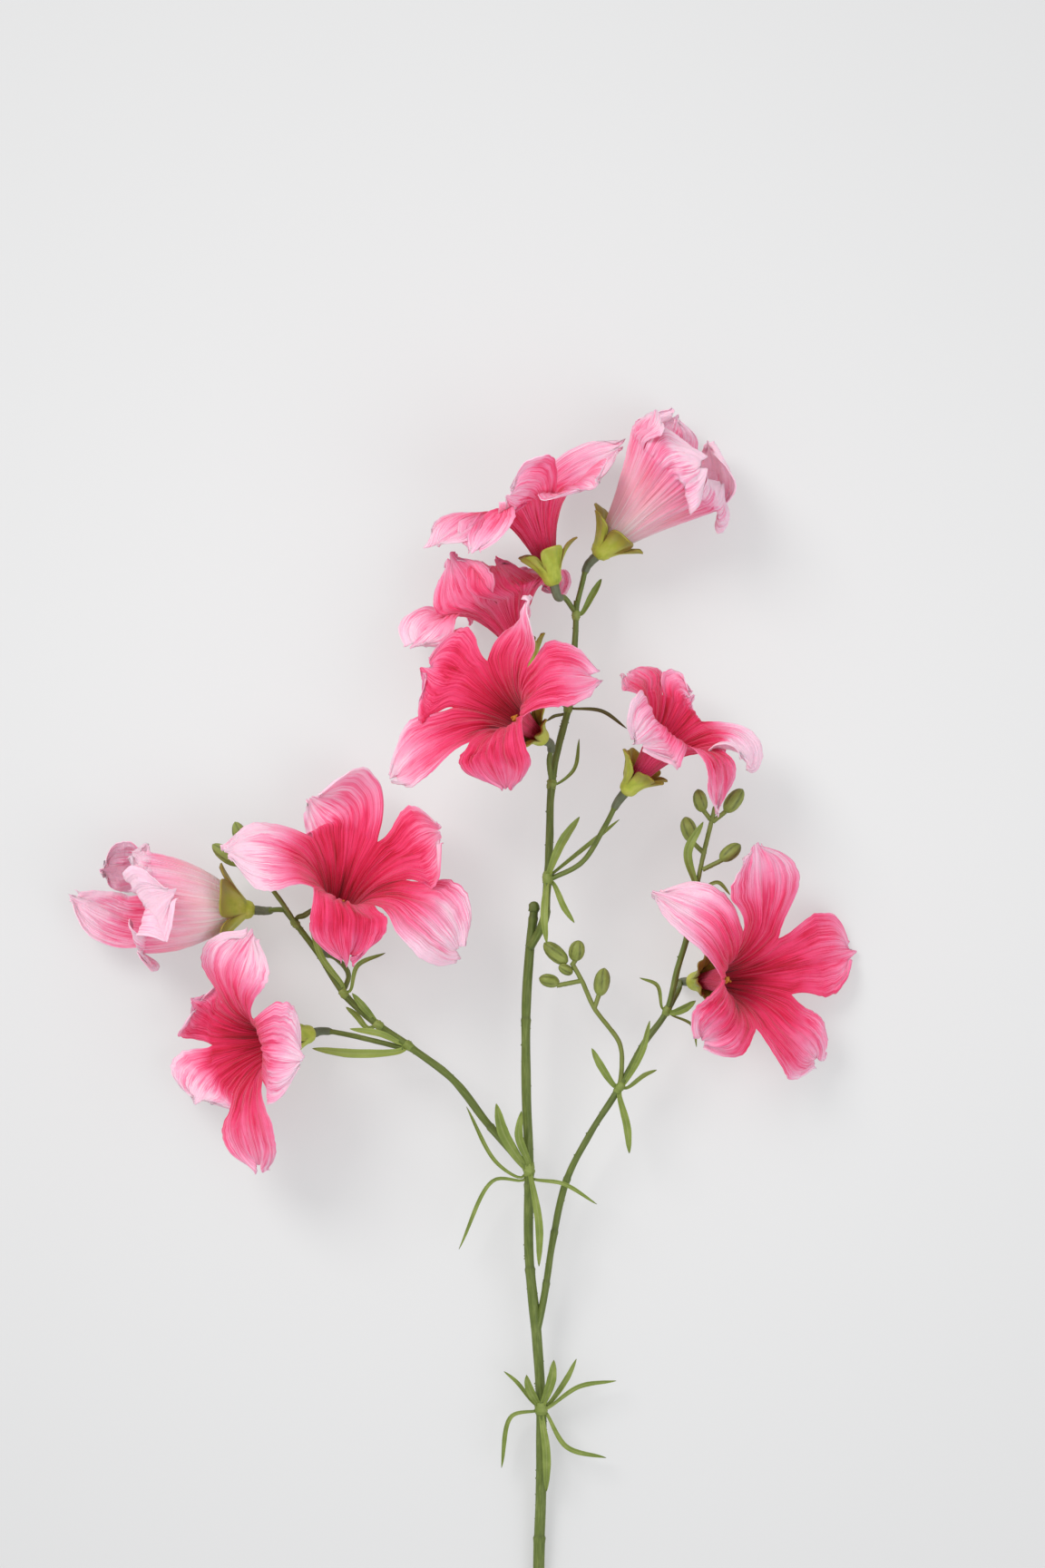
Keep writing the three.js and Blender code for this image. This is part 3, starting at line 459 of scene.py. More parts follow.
def node(tree, kind, **settings):
    made = tree.nodes.new(kind)
    for key, value in settings.items():
        setattr(made, key, value)
    return made


def attribute(tree, name):
    return node(tree, "ShaderNodeAttribute", attribute_type="GEOMETRY", attribute_name=name)


def maths(tree, operation, a, b=None, clamp=False):
    made = node(tree, "ShaderNodeMath", operation=operation, use_clamp=clamp)
    for socket, value in zip(made.inputs, (a, b)):
        if value is None:
            continue
        if isinstance(value, (int, float)):
            socket.default_value = value
        else:
            tree.links.new(value, socket)
    return made.outputs[0]


def ramp(tree, factor, stops):
    made = node(tree, "ShaderNodeValToRGB")
    elements = made.color_ramp.elements
    while len(elements) < len(stops):
        elements.new(0.5)
    for element, (position, colour) in zip(elements, stops):
        element.position = position
        element.color = (*colour, 1.0)
    tree.links.new(factor, made.inputs[0])
    return made.outputs[0]


def mix_colour(tree, factor, a, b):
    made = node(tree, "ShaderNodeMix", data_type="RGBA")
    for socket, value in ((made.inputs[0], factor), (made.inputs[6], a), (made.inputs[7], b)):
        if isinstance(value, (int, float)):
            socket.default_value = value
        elif isinstance(value, tuple):
            socket.default_value = (*value, 1.0)
        else:
            tree.links.new(value, socket)
    return made.outputs[2]


def noise(tree, vector, scale, stretch=(1, 1, 1), detail=3.0, roughness=0.55):
    spread = node(tree, "ShaderNodeVectorMath", operation="MULTIPLY")
    tree.links.new(vector, spread.inputs[0])
    spread.inputs[1].default_value = stretch
    made = node(tree, "ShaderNodeTexNoise")
    tree.links.new(spread.outputs[0], made.inputs["Vector"])
    made.inputs["Scale"].default_value = scale
    made.inputs["Detail"].default_value = detail
    made.inputs["Roughness"].default_value = roughness
    return made.outputs[0]


def thin_lines(tree, value, width):
    """1 where the noise crosses its middle value, falling to 0 at width away from it"""
    away = maths(tree, "ABSOLUTE", maths(tree, "SUBTRACT", value, 0.5))
    return maths(tree, "SUBTRACT", 1.0, maths(tree, "DIVIDE", away, width), clamp=True)


def bump(tree, shader, height, strength, distance):
    made = node(tree, "ShaderNodeBump")
    made.inputs["Strength"].default_value = strength
    made.inputs["Distance"].default_value = distance
    tree.links.new(height, made.inputs["Height"])
    tree.links.new(made.outputs[0], shader.inputs["Normal"])


PETAL_STOPS = [(0.0, (0.15, 0.002, 0.008)), (0.12, (0.42, 0.003, 0.022)), (0.30, (0.66, 0.010, 0.070)),
               (0.50, (0.84, 0.050, 0.165)), (0.72, (0.94, 0.190, 0.350)), (0.90, (0.98, 0.40, 0.56)),
               (1.0, (0.99, 0.58, 0.70))]
VEIN_WIDTH = 0.06              # how far from its middle value the noise still counts as a vein
VEIN_DEPTH = 0.30              # how far a vein pulls the cloth back along the stops
PLASTIC_STOPS = (0.3, 0.5, 0.7)    # where a moulded plastic is at its dark, middle and light colour


def petal_cloth(name, tone_name):
    """Dyed cloth: crimson throat to pale edge, with fine darker veins and a crinkle across them. The inside
    tone it reads is partly painted light, lifted in the throat against the shade deep in the funnel
    """
    material, tree, shader = new_material(name)
    grain = attribute(tree, "grain").outputs["Vector"]
    tone = attribute(tree, tone_name).outputs["Fac"]
    place = node(tree, "ShaderNodeTexCoord").outputs["Object"]
    broad = noise(tree, grain, 5.0, (1, 1, 0.12), detail=2.0)
    fine = noise(tree, grain, 13.0, (1, 1, 0.022), detail=2.0)
    finer = noise(tree, grain, 34.0, (1, 1, 0.012), detail=2.0)
    faint = maths(tree, "MULTIPLY", thin_lines(tree, finer, VEIN_WIDTH), 0.7)
    veins = maths(tree, "MAXIMUM", thin_lines(tree, fine, VEIN_WIDTH), faint)
    patch = noise(tree, place, 70.0, detail=3.0)
    lift = maths(tree, "MULTIPLY", maths(tree, "SUBTRACT", broad, 0.5), 0.40)
    lift = maths(tree, "ADD", lift, maths(tree, "MULTIPLY", maths(tree, "SUBTRACT", patch, 0.5), 0.16))
    level = maths(tree, "ADD", tone, lift)
    bundles = noise(tree, grain, 3.1, (1, 1, 0.4), detail=1.0)
    gathered = maths(tree, "SUBTRACT", maths(tree, "MULTIPLY", bundles, 3.0), 0.7, clamp=True)
    depth = maths(tree, "MULTIPLY", gathered, VEIN_DEPTH)
    level = maths(tree, "SUBTRACT", level, maths(tree, "MULTIPLY", veins, depth), clamp=True)
    colour = ramp(tree, level, PETAL_STOPS)
    cream = attribute(tree, "cream").outputs["Fac"]
    uneven = maths(tree, "ADD", maths(tree, "MULTIPLY", fine, 1.6), 0.1)
    streaky = maths(tree, "MULTIPLY", cream, uneven, clamp=True)
    colour = mix_colour(tree, streaky, colour, (0.95, 0.76, 0.75))
    tree.links.new(colour, shader.inputs["Base Color"])
    crinkle = noise(tree, grain, 5.0, (1, 1, 6.0), detail=4.0, roughness=0.7)
    weave = noise(tree, place, 1500.0, detail=1.0)
    height = maths(tree, "ADD", maths(tree, "MULTIPLY", fine, 1.1), maths(tree, "MULTIPLY", crinkle, 0.3))
    height = maths(tree, "ADD", height, maths(tree, "MULTIPLY", finer, 0.7))
    height = maths(tree, "ADD", height, maths(tree, "MULTIPLY", weave, 0.12))
    bump(tree, shader, height, 0.8, 0.0012)
    shader.inputs["Roughness"].default_value = 0.72
    shader.inputs["Specular IOR Level"].default_value = 0.25
    shader.inputs["Sheen Weight"].default_value = 0.18
    shader.inputs["Sheen Roughness"].default_value = 0.5
    shader.inputs["Subsurface Weight"].default_value = 0.45
    shader.inputs["Subsurface Radius"].default_value = (1.0, 0.45, 0.55)
    shader.inputs["Subsurface Scale"].default_value = 0.0016
    return material


def moulded_plastic(name, colours, blush=None, roughness=0.5, streak=0.5, tinted=False):
    """Soft moulded plastic: lengthwise streaks, blotches and a blush where tone rises to 1. On the buds the
    blush is painted shade in the grooves between the sepals
    """
    material, tree, shader = new_material(name)
    grain = attribute(tree, "grain").outputs["Vector"]
    tone = attribute(tree, "tone").outputs["Fac"]
    place = node(tree, "ShaderNodeTexCoord").outputs["Object"]
    streaks = noise(tree, grain, 3.5, (1, 1, 0.05), detail=3.0)
    blotch = noise(tree, place, 160.0, detail=3.0)
    mottled = maths(tree, "MULTIPLY", blotch, 1 - streak)
    level = maths(tree, "ADD", maths(tree, "MULTIPLY", streaks, streak), mottled)
    colour = ramp(tree, level, list(zip(PLASTIC_STOPS, colours)))
    if tinted:
        tint = attribute(tree, "tint").outputs["Fac"]
        colour = mix_colour(tree, maths(tree, "MULTIPLY", tint, 0.55), colour, (0.36, 0.42, 0.10))
        brown = maths(tree, "SUBTRACT", 1.0, maths(tree, "MULTIPLY", tint, 4.0), clamp=True)
        colour = mix_colour(tree, maths(tree, "MULTIPLY", brown, 0.75), colour, (0.11, 0.085, 0.03))
    if blush:
        drift = maths(tree, "MULTIPLY", maths(tree, "SUBTRACT", blotch, 0.5), 0.8)
        edge = maths(tree, "ADD", tone, drift, clamp=True)
        colour = mix_colour(tree, edge, colour, blush)
    tree.links.new(colour, shader.inputs["Base Color"])
    speck = noise(tree, place, 900.0, detail=2.0)
    height = maths(tree, "ADD", maths(tree, "MULTIPLY", streaks, 0.8), maths(tree, "MULTIPLY", speck, 0.25))
    bump(tree, shader, height, 0.4, 0.0004)
    shine = maths(tree, "ADD", maths(tree, "MULTIPLY", blotch, 0.25), roughness - 0.12)
    tree.links.new(shine, shader.inputs["Roughness"])
    shader.inputs["Specular IOR Level"].default_value = 0.3
    return material


MATERIALS = {
    "petal_inside": petal_cloth("petal_inside", "tone_in"),
    "petal_outside": petal_cloth("petal_outside", "tone_out"),
    "calyx": moulded_plastic(
        "calyx_plastic", [(0.27, 0.34, 0.030), (0.43, 0.49, 0.060), (0.58, 0.62, 0.13)],
        blush=(0.20, 0.085, 0.02), roughness=0.5, streak=0.3),
    "stem": moulded_plastic(
        "stem_plastic", [(0.070, 0.102, 0.016), (0.120, 0.160, 0.030), (0.21, 0.26, 0.066)],
        blush=(0.055, 0.065, 0.018), roughness=0.46, streak=0.6),
    "leaf": moulded_plastic(
        "leaf_plastic", [(0.085, 0.130, 0.018), (0.145, 0.200, 0.032), (0.22, 0.28, 0.060)],
        blush=(0.30, 0.34, 0.12), roughness=0.5, streak=0.35, tinted=True),
    # the buds' blush colour is painted shade, laid dark into the grooves between their sepals
    "bud": moulded_plastic(
        "bud_plastic", [(0.13, 0.155, 0.03), (0.22, 0.26, 0.055), (0.33, 0.37, 0.10)],
        blush=(0.075, 0.085, 0.025), roughness=0.48, streak=0.3),
    "sleeve": moulded_plastic(
        "sleeve_plastic", [(0.07, 0.085, 0.045), (0.12, 0.14, 0.08), (0.17, 0.19, 0.12)],
        roughness=0.42, streak=0.4),
    "stamen": moulded_plastic(
        "stamen_plastic", [(0.35, 0.12, 0.02), (0.62, 0.25, 0.03), (0.80, 0.45, 0.08)],
        blush=(0.42, 0.05, 0.04), roughness=0.6, streak=0.2),
}

# ---------------------------------------------------------------- blossoms
FUNNEL_ROWS = 20
PETAL_ROWS = 40
PETAL_COLUMNS = 48
TIP_WAVE = 6.0                 # how much the length of a petal varies across its end
TIP_FRAY = 0.6                 # the same, in finer steps
FOLD = 1.3                     # heights of the creases, before they vary from place to place
CRINKLE = 0.30
VALLEY = 0.85
FINE_VALLEY = 0.42
MIDRIB = 0.8
RUFFLE = 5.5


def build_petals(bloom):
    n = bloom.number
    theta = []
    for i in range(5):
        a, b = bloom.notches(i)
        theta.append(a + (b - a) * np.arange(PETAL_COLUMNS) / PETAL_COLUMNS)
    theta = np.concatenate(theta)
    wide = len(theta)
    along_funnel = np.linspace(0, 1, FUNNEL_ROWS + 1)
    s, turn = np.meshgrid(along_funnel, theta, indexing="ij")
    points = [bloom.funnel(s, turn).reshape(-1, 3)]
    along = [s.ravel()]
    turns = [turn.ravel()]
    edge = [np.zeros(s.size)]
    pale = [np.zeros(s.size)]
    faces = grid_faces(FUNNEL_ROWS + 1, wide, wraps=True).tolist()
    first = s.size
    v = np.linspace(-1, 1, PETAL_COLUMNS + 1)
    u = np.linspace(0, 1, PETAL_ROWS + 1)[1:]
    for i, petal in enumerate(bloom.petals):
        a, b = bloom.notches(i)
        uu, vv = np.meshgrid(u, v, indexing="ij")
        seed = 100 * n + i
        ragged_tip = lattice(seed, vv / 4 + 0.5, np.zeros_like(vv), 40, 1) - 0.5
        ragged_side = lattice(seed + 50, uu / 2, (vv + 1) / 2, 40, 1) - 0.5
        wave_tip = lattice(seed + 70, vv / 4 + 0.5, np.zeros_like(vv), 9, 1) - 0.5
        v_cut = vv * (1 + 0.05 * ragged_side * smooth((uu - 0.1) / 0.3))
        sheet = bloom.petal(i, uu, v_cut)
        onward = unit(np.array(petal[1]) - bloom.funnel(1.0, np.array(float(petal[0]))))
        stretch = uu ** 5 * (TIP_WAVE * wave_tip + TIP_FRAY * ragged_tip)
        points.append((sheet + onward * stretch[..., None]).reshape(-1, 3))
        along.append(1 + uu.ravel())
        turns.append((a + (b - a) * (vv + 1) / 2).ravel())
        edge.append((np.abs(vv) ** 3 * smooth(uu / 0.3)).ravel())
        pale.append((petal[5] * smooth(uu / 0.5)).ravel())
        rim = [FUNNEL_ROWS * wide + (i * PETAL_COLUMNS + k) % wide for k in range(PETAL_COLUMNS + 1)]
        faces += [[rim[k], rim[k + 1], first + k + 1, first + k] for k in range(PETAL_COLUMNS)]
        faces += grid_faces(PETAL_ROWS, PETAL_COLUMNS + 1, first).tolist()
        first += uu.size
    points, along, turns = np.vstack(points), np.concatenate(along), np.concatenate(turns)
    edge, pale = np.concatenate(edge), np.concatenate(pale)
    mesh = make_mesh(f"petals_{n}", to_frame(points), faces)

    normals = np.zeros(3 * len(points))
    mesh.vertices.foreach_get("normal", normals)
    round_share = turns / 360.0
    span = along / 2
    valleys = 1 - np.abs(2 * lattice(n, round_share, span, 60, 2) - 1)
    finer = 1 - np.abs(2 * lattice(n + 10, round_share, span, 100, 3) - 1)
    folds = lattice(n + 20, round_share, span, 25, 3) - 0.5
    ruffle = lattice(n + 40, round_share, span, 34, 6) - 0.5
    crinkle = lattice(n + 60, round_share, span, 60, 60) - 0.5
    open_part = smooth((along - 0.30) / 0.5)
    middle = np.zeros(len(points))
    for petal in bloom.petals:
        away = (turns - petal[0] + 180) % 360 - 180
        middle += np.exp(-(away / 2.2) ** 2)
    creased = 0.35 + 1.3 * lattice(n + 80, round_share, span, 12, 3)
    creases = creased * (VALLEY * valleys ** 3 + FINE_VALLEY * finer ** 3)
    lift = open_part * (FOLD * folds + CRINKLE * crinkle - creases)
    lift = lift * (1 - 0.85 * smooth((along - 1.82) / 0.15))
    lift = lift - MIDRIB * middle * open_part * (1 - smooth((along - 1.3) / 0.5))
    lift = lift + RUFFLE * ruffle * smooth((along - 1.1) / 0.9) * (0.3 + 0.7 * edge)
    moved = to_frame(points) + normals.reshape(-1, 3) * (lift * MM)[:, None]
    mesh.vertices.foreach_set("co", moved.ravel())
    mesh.update()

    angle = np.radians(turns)
    set_attribute(mesh, "grain", np.column_stack([np.cos(angle), np.sin(angle), along * 2 + n]))
    # rise follows the dye from the crimson throat to the pale edge; its low end is also lifted as painted
    # light, to make up for the shade deep in the funnel
    rise = np.interp(along, [0.0, 0.25, 0.50, 0.80, 1.10, 1.50, 1.80, 2.0],
                     [0.08, 0.18, 0.27, 0.37, 0.47, 0.70, 0.90, 1.02])
    tone_in = rise + 0.14 * edge + pale + 0.45 * bloom.pale * smooth((along - 0.3) / 0.5)
    rise_out = np.interp(along, [0.0, 0.5, 1.0, 1.5, 2.0], [0.40, 0.47, 0.57, 0.80, 1.0])
    tone_out = rise_out + 0.12 * edge + pale + bloom.pale * (0.50 - 0.1 * span)
    set_attribute(mesh, "cream", np.clip(1.9 * bloom.pale * (1 - along), 0, 1))
    set_attribute(mesh, "tone_in", tone_in)
    set_attribute(mesh, "tone_out", tone_out)

    piece = add_piece(f"petals_{n}", mesh, [MATERIALS["petal_outside"], MATERIALS["petal_inside"]],
                      [f"corolla_{n}"])
    thick = piece.modifiers.new("cloth", "SOLIDIFY")
    thick.thickness = CLOTH * MM
    thick.offset = 0
    thick.material_offset = 1


def build_calyx(bloom):
    n = bloom.number
    columns, rows = 100, 18
    body = Body()
    rng = np.random.RandomState(500 + n)
    turn = np.arange(columns) * 360 / columns
    ring = np.column_stack([np.cos(np.radians(turn)), np.sin(np.radians(turn))])
    sepal = (turn // 72).astype(int)
    across = (turn % 72) / 36 - 1
    reach = 11.8 + rng.uniform(-1.4, 1.6, 5)[sepal]
    flip = rng.uniform(0.2, 1.2, 5)[sepal]
    browned = rng.uniform(0.0, 0.75, 5)[sepal]
    top = 4.6 + (reach - 4.6) * (1 - np.abs(across) ** 4.2) ** 0.7
    clear = 1.1
    all_points, tones, grain = [], [], []
    for k in range(rows + 1):
        share = k / rows
        h = -0.6 + share * (top + 0.6)
        positive = np.maximum(0, h)
        spread = 0.12 * positive + 0.024 * positive ** 2 + 0.0030 * flip * np.maximum(0, h - 6) ** 3
        ripple = 0.75 * np.sin(np.radians(turn) * 11 + share * 4 + n) * smooth((share - 0.3) / 0.5)
        keel = 0.55 * (1 - np.abs(across)) ** 3 * smooth(share / 0.4)
        r = bloom.radius_at(h) + clear + spread + ripple - keel * 0.4
        all_points.append(bloom.point(r, h - 0.05 * flip * np.maximum(0, h - 8) ** 2, turn))
        rimmed = 0.25 * np.abs(across) ** 4 * smooth(share / 0.5)
        tones.append(smooth((share - 0.35) / 0.65) * browned + rimmed)
        grain.append(np.column_stack([ring, h]))
    foot = [(0.02, -SEAT), (1.5, -SEAT), (2.1, -SEAT + 0.5), (2.9, -2.3), (3.3, -1.4)]
    for r, h in reversed(foot):
        r_here = r if r < 2.2 else r + (bloom.radius_at(0) - 2.4) * 0.5
        all_points.insert(0, bloom.point(r_here, h, turn))
        tones.insert(0, np.full(columns, 0.05))
        grain.insert(0, np.column_stack([ring, np.full(columns, h)]))
    points = np.vstack(all_points)
    body.add(points, grid_faces(len(all_points), columns, wraps=True).tolist(),
             grain=np.vstack(grain), tone=np.concatenate(tones))
    piece = add_piece(f"sepals_{n}", body.mesh(f"sepals_{n}"), [MATERIALS["calyx"]],
                      [f"calyx_{n}"])
    thick = piece.modifiers.new("plastic", "SOLIDIFY")
    thick.thickness = SEPAL * MM
    thick.offset = 0


def build_stamen(bloom):
    n = bloom.number
    height = bloom.h[-1] * STAMEN_SHARE
    body = Body()
    share = np.linspace(0, 1, 40)
    stalk = np.interp(share, [0, 0.55, 0.62, 0.72, 0.86, 0.96, 1], [0.8, 0.6, 0.7, 1.15, 1.5, 1.0, 0.2])
    line = bloom.point(np.zeros(40), share * height - STAMEN_DROP, np.zeros(40))
    blush = np.interp(share, [0, 0.55, 0.7, 1], [1, 0.8, 0, 0])
    tube(body, line, stalk, sides=18, wobble=0.35, seed=n, tone=blush)
    rng = np.random.RandomState(n)
    for k in range(14):
        turn, h = rng.uniform(0, 360), height * rng.uniform(0.74, 0.97)
        at = bloom.point(1.15, h, turn)
        out = bloom.radial(np.array(turn)) * 0.5 + bloom.axis * 0.2
        grain_line = at + np.outer(np.linspace(-0.6, 1, 5), out)
        tube(body, grain_line, [0.1, 0.42, 0.5, 0.4, 0.08], sides=8, tone=0.0)
    add_piece(f"anther_{n}", body.mesh(f"anther_{n}"), [MATERIALS["stamen"]],
              [f"stamen_{n}"])


def build_stalk(bloom):
    n = bloom.number
    end = bloom.point(0, -SEAT + 0.2, 0)
    below = bloom.point(0, -SEAT - 5, 0)
    line = curve([*STALKS[n], below, end], 60)
    length = length_of(line)
    run = np.linspace(0, length, 61)
    to_end = length - run
    radius = np.interp(to_end, [0, 0.6, 5.5, SLEEVE_LENGTH - 0.6, SLEEVE_LENGTH, SLEEVE_LENGTH + 0.5],
                       [1.75, 1.95, 1.65, 1.55, 1.4, STALK])
    body = Body()
    sleeve = to_end < SLEEVE_LENGTH + 0.2
    tube(body, line, radius, ribs=0.06, wobble=0.10, seed=30 + n, tone=np.where(sleeve, 1.0, 0.0))
    mesh = body.mesh(f"stalk_{n}")
    add_piece(f"stalk_{n}", mesh, [MATERIALS["stem"], MATERIALS["sleeve"]],
              [f"pedicel_{n}"])
    tone = mesh.attributes["tone"].data
    for face in mesh.polygons:
        if tone[face.vertices[0]].value > 0.5:
            face.material_index = 1
    for k in range(len(tone)):
        tone[k].value = 0.0


# ---------------------------------------------------------------- stems, buds and leaves
def build_stem(name):
    spec = STEMS[name]
    steps = int(length_of(np.array(spec["route"], float)) / 1.1)
    line = curve(spec["route"], steps)
    share = np.linspace(0, 1, steps + 1)
    radius = spec["start"] + (spec["end"] - spec["start"]) * share
    run = share * length_of(line)
    rng = np.random.RandomState(len(name) * 7)
    swell = np.full(steps + 1, 0.06)
    dark = 0.30 * lattice(len(name), share, share, 1, 12)
    for height in spec["joins"]:
        past = run - run[np.argmin(np.abs(line[:, 1] - height))]
        swell += np.where(past < 0, 0.16 * np.exp(-(past / 2.2) ** 2), -0.06 * np.exp(-(past / 4.0) ** 2))
        dark += 0.5 * np.exp(-((past - 0.3) / 0.5) ** 2)
    body = Body()
    tube(body, line, radius * (1 + swell), sides=28, ribs=0.13, wobble=0.22, seed=len(name), tone=dark)
    if name == "main_stem":
        knob = np.array([-0.8, -0.2, 0.5, 1.0, 1.2]) * 2.0
        bulge = radius[-1] * np.array([1.1, 1.35, 1.3, 0.9, 0.3])
        stub = line[-1] + np.outer(knob, unit(line[-1] - line[-3]))
        tube(body, stub, bulge, wobble=0.5, seed=3, tone=0.4)
    for _ in range(int(run[-1] / 7)):
        k = rng.randint(4, steps - 4)
        side = rng.choice([-1, 1]) * unit(np.cross(line[k + 1] - line[k], [0, 0, 1.0]))
        at = line[k] + side * radius[k] * 0.98
        size = rng.uniform(0.2, 0.42)
        crumb = size * np.array([0.4, 0.9, 1, 0.8, 0.2])
        tube(body, at + np.outer(np.linspace(-size, size, 5), side), crumb, sides=8, tone=0.1)
    add_piece(f"{name}_skin", body.mesh(name), [MATERIALS["stem"]], [name])


def add_bud(body, foot, tip, radius, seed):
    """Closed bud: a short cup, then five sepals folded together over a blunt tip"""
    foot, tip = np.array(foot, float), np.array(tip, float)
    share = np.linspace(0, 1, 34)
    profile = np.interp(share, [0, 0.04, 0.10, 0.20, 0.35, 0.55, 0.72, 0.86, 0.95, 1.0],
                        [0.28, 0.46, 0.66, 0.86, 1.0, 1.02, 0.92, 0.68, 0.40, 0.06])
    d = unit(tip - foot)
    side = unit(np.cross(d, [0.2, 0.1, 1.0]))
    other = np.cross(d, side)
    sides = 40
    angle = np.arange(sides) * 2 * math.pi / sides
    rows, tones = [], []
    for s, r in zip(share, profile):
        swirl = angle + 0.5 * s + seed
        seam = np.abs(np.sin(2.5 * swirl))
        groove = 1 - 0.16 * (1 - seam) ** 3 * smooth((s - 0.12) / 0.2)
        rr = radius * r * groove
        middle = foot + (tip - foot) * s
        rows.append(middle + np.outer(rr * np.cos(angle), side) + np.outer(rr * np.sin(angle), other))
        # tone marks the grooves between the sepals, where the bud's blush lays painted shade
        tones.append((1 - seam) ** 3 * smooth((s - 0.1) / 0.2) * 0.9)
    grain = [np.column_stack([np.cos(angle), np.sin(angle), np.full(sides, s * 10)]) for s in share]
    grain = np.vstack(grain + [[[0, 0, 0]], [[0, 0, 10]]])
    points = np.vstack(rows + [foot[None], tip[None]])
    tones.append([0.0, 0.5])
    body.add(points, rod_faces(len(rows), sides), grain=grain, tone=np.concatenate(tones), tint=USUAL_TINT)


def build_sprig(name):
    spec = SPRIGS[name]
    body = Body()
    for k, twig in enumerate(spec["twigs"]):
        line = curve(twig, 10 * len(twig))
        tube(body, line, TWIG, sides=16, ribs=0.08, wobble=0.15, seed=60 + k, tone=0.3)
    for k, (foot, tip, radius) in enumerate(spec["buds"]):
        add_bud(body, foot, tip, radius * BUD_SLIMNESS, k)
    add_piece(f"{name}_skin", body.mesh(name), [MATERIALS["bud"]], [name])


def add_leaf(body, route, width, seed, tint):
    steps, columns = 26, 9
    line = curve(route, steps)
    share = np.linspace(0, 1, steps + 1)
    along = unit(np.gradient(line, axis=0))
    across = unit(np.cross(along, [0, 0, 1.0]))
    rise = np.cross(across, along)
    half = width / 2 * np.interp(share, [0, 0.12, 0.4, 0.65, 0.85, 0.95, 1.0],
                                 [0.62, 0.7, 1.0, 1.05, 0.75, 0.42, 0.10])
    v = np.linspace(-1, 1, columns)
    wave = 0.18 * width * (lattice(seed, share, share, 1, 8) - 0.5)
    points = line[:, None, :] + across[:, None, :] * (v[None, :, None] * half[:, None, None])
    groove = 0.10 * width * np.exp(-(v / 0.16) ** 2)[None, :]
    lift = (0.42 * np.abs(v)[None, :] ** 1.4 * half[:, None]) - groove
    lift = lift + wave[:, None] * v[None, :]
    points = points + rise[:, None, :] * lift[:, :, None]
    under = points - rise[:, None, :] * (LEAF * (1 - 0.55 * v[None, :, None] ** 2))
    n = (steps + 1) * columns
    faces = [list(reversed(f)) for f in grid_faces(steps + 1, columns).tolist()]
    faces += grid_faces(steps + 1, columns, n).tolist()
    for i in range(steps):
        a, b = i * columns, (i + 1) * columns
        faces.append([a, n + a, n + b, b])
        a, b = a + columns - 1, b + columns - 1
        faces.append([b, n + b, n + a, a])
    for j in range(columns - 1):
        faces.append([j, j + 1, n + j + 1, n + j])
        k = steps * columns + j
        faces.append([k + 1, k, n + k, n + k + 1])
    rib = np.exp(-(v / 0.14) ** 2)[None, :] * np.ones((steps + 1, 1))
    layers = np.broadcast_arrays(v[None, :] * 1.2, np.full((1, 1), seed * 1.7), share[:, None] * 12)
    grain = np.stack(layers, axis=-1)
    both = np.vstack([grain.reshape(-1, 3)] * 2)
    body.add(np.vstack([points.reshape(-1, 3), under.reshape(-1, 3)]), faces, grain=both,
             tone=np.concatenate([0.6 * rib.ravel(), 0.4 * rib.ravel()]), tint=tint)


# How light a whorl is, from 0 (brown) to 1 (light green), where it differs from USUAL_TINT
TINTS = {"h": 0.0, "m": 0.05, "l": 0.9, "f": 0.6, "e": 0.55, "c": 0.45}


def build_whorl(letter):
    stem, at, collar, leaves = WHORLS[letter]
    spec = STEMS[stem]
    line = curve(spec["route"], ROUTE_STEPS)
    nearest = int(np.argmin(np.linalg.norm(line - np.array(at, float), axis=1)))
    centre = line[nearest]
    along = unit(line[min(ROUTE_STEPS, nearest + 1)] - line[max(0, nearest - 1)])
    radius = spec["start"] + (spec["end"] - spec["start"]) * nearest / ROUTE_STEPS
    body = Body()
    share = np.linspace(-0.5, 0.5, 13)
    band = centre + np.outer(share * collar, along)
    swell = radius + 0.05 + 0.55 * np.maximum(0, np.cos(np.pi * share)) ** 0.6
    tube(body, band, swell, sides=28, ribs=0.06, rib_count=5, wobble=0.25, seed=ord(letter), tone=0.15)
    for k, (route, width) in enumerate(leaves):
        start = centre * 0.7 + np.array(route[0]) * 0.3
        add_leaf(body, [start, *route], width, ord(letter) + 3 * k, TINTS.get(letter, USUAL_TINT))
    add_piece(f"leaves_{letter}", body.mesh(f"leaves_{letter}"), [MATERIALS["leaf"]],
              [f"whorl_{letter}"])


for bloom in BLOOMS.values():
    build_petals(bloom)
    build_calyx(bloom)
    build_stamen(bloom)
    build_stalk(bloom)
for stem_name in STEMS:
    build_stem(stem_name)
for sprig_name in SPRIGS:
    build_sprig(sprig_name)
for letter in WHORLS:
    build_whorl(letter)

# ---------------------------------------------------------------- table, light and camera
CAMERA_HEIGHT = 2.2            # metres, as are the next two
TRUE_HEIGHT = 0.03             # height over the table at which the picture's scale is exact
LENGTH_SEEN = 0.62208          # how much the picture's long side takes in at that height
SENSOR = 36.0                  # width of the camera's sensor, in millimetres
FLOOR_HALF = 4.0
FLOOR_DROP = 0.0005            # keeps the table's face clear of the lowest piece
POOL_GLOW = 0.36               # strength of the table's own glow at the pool's middle
EDGE_GLOW = 0.055              # the part of that glow that is the same everywhere
SKY = 0.78
KEY_POWER = 36
FILL_POWER = 13
POOL_REACH = 1.1               # how far the soft pool of light under the spray reaches
VIEW_CENTRE = to_frame((-7.56, 311.04, 0))


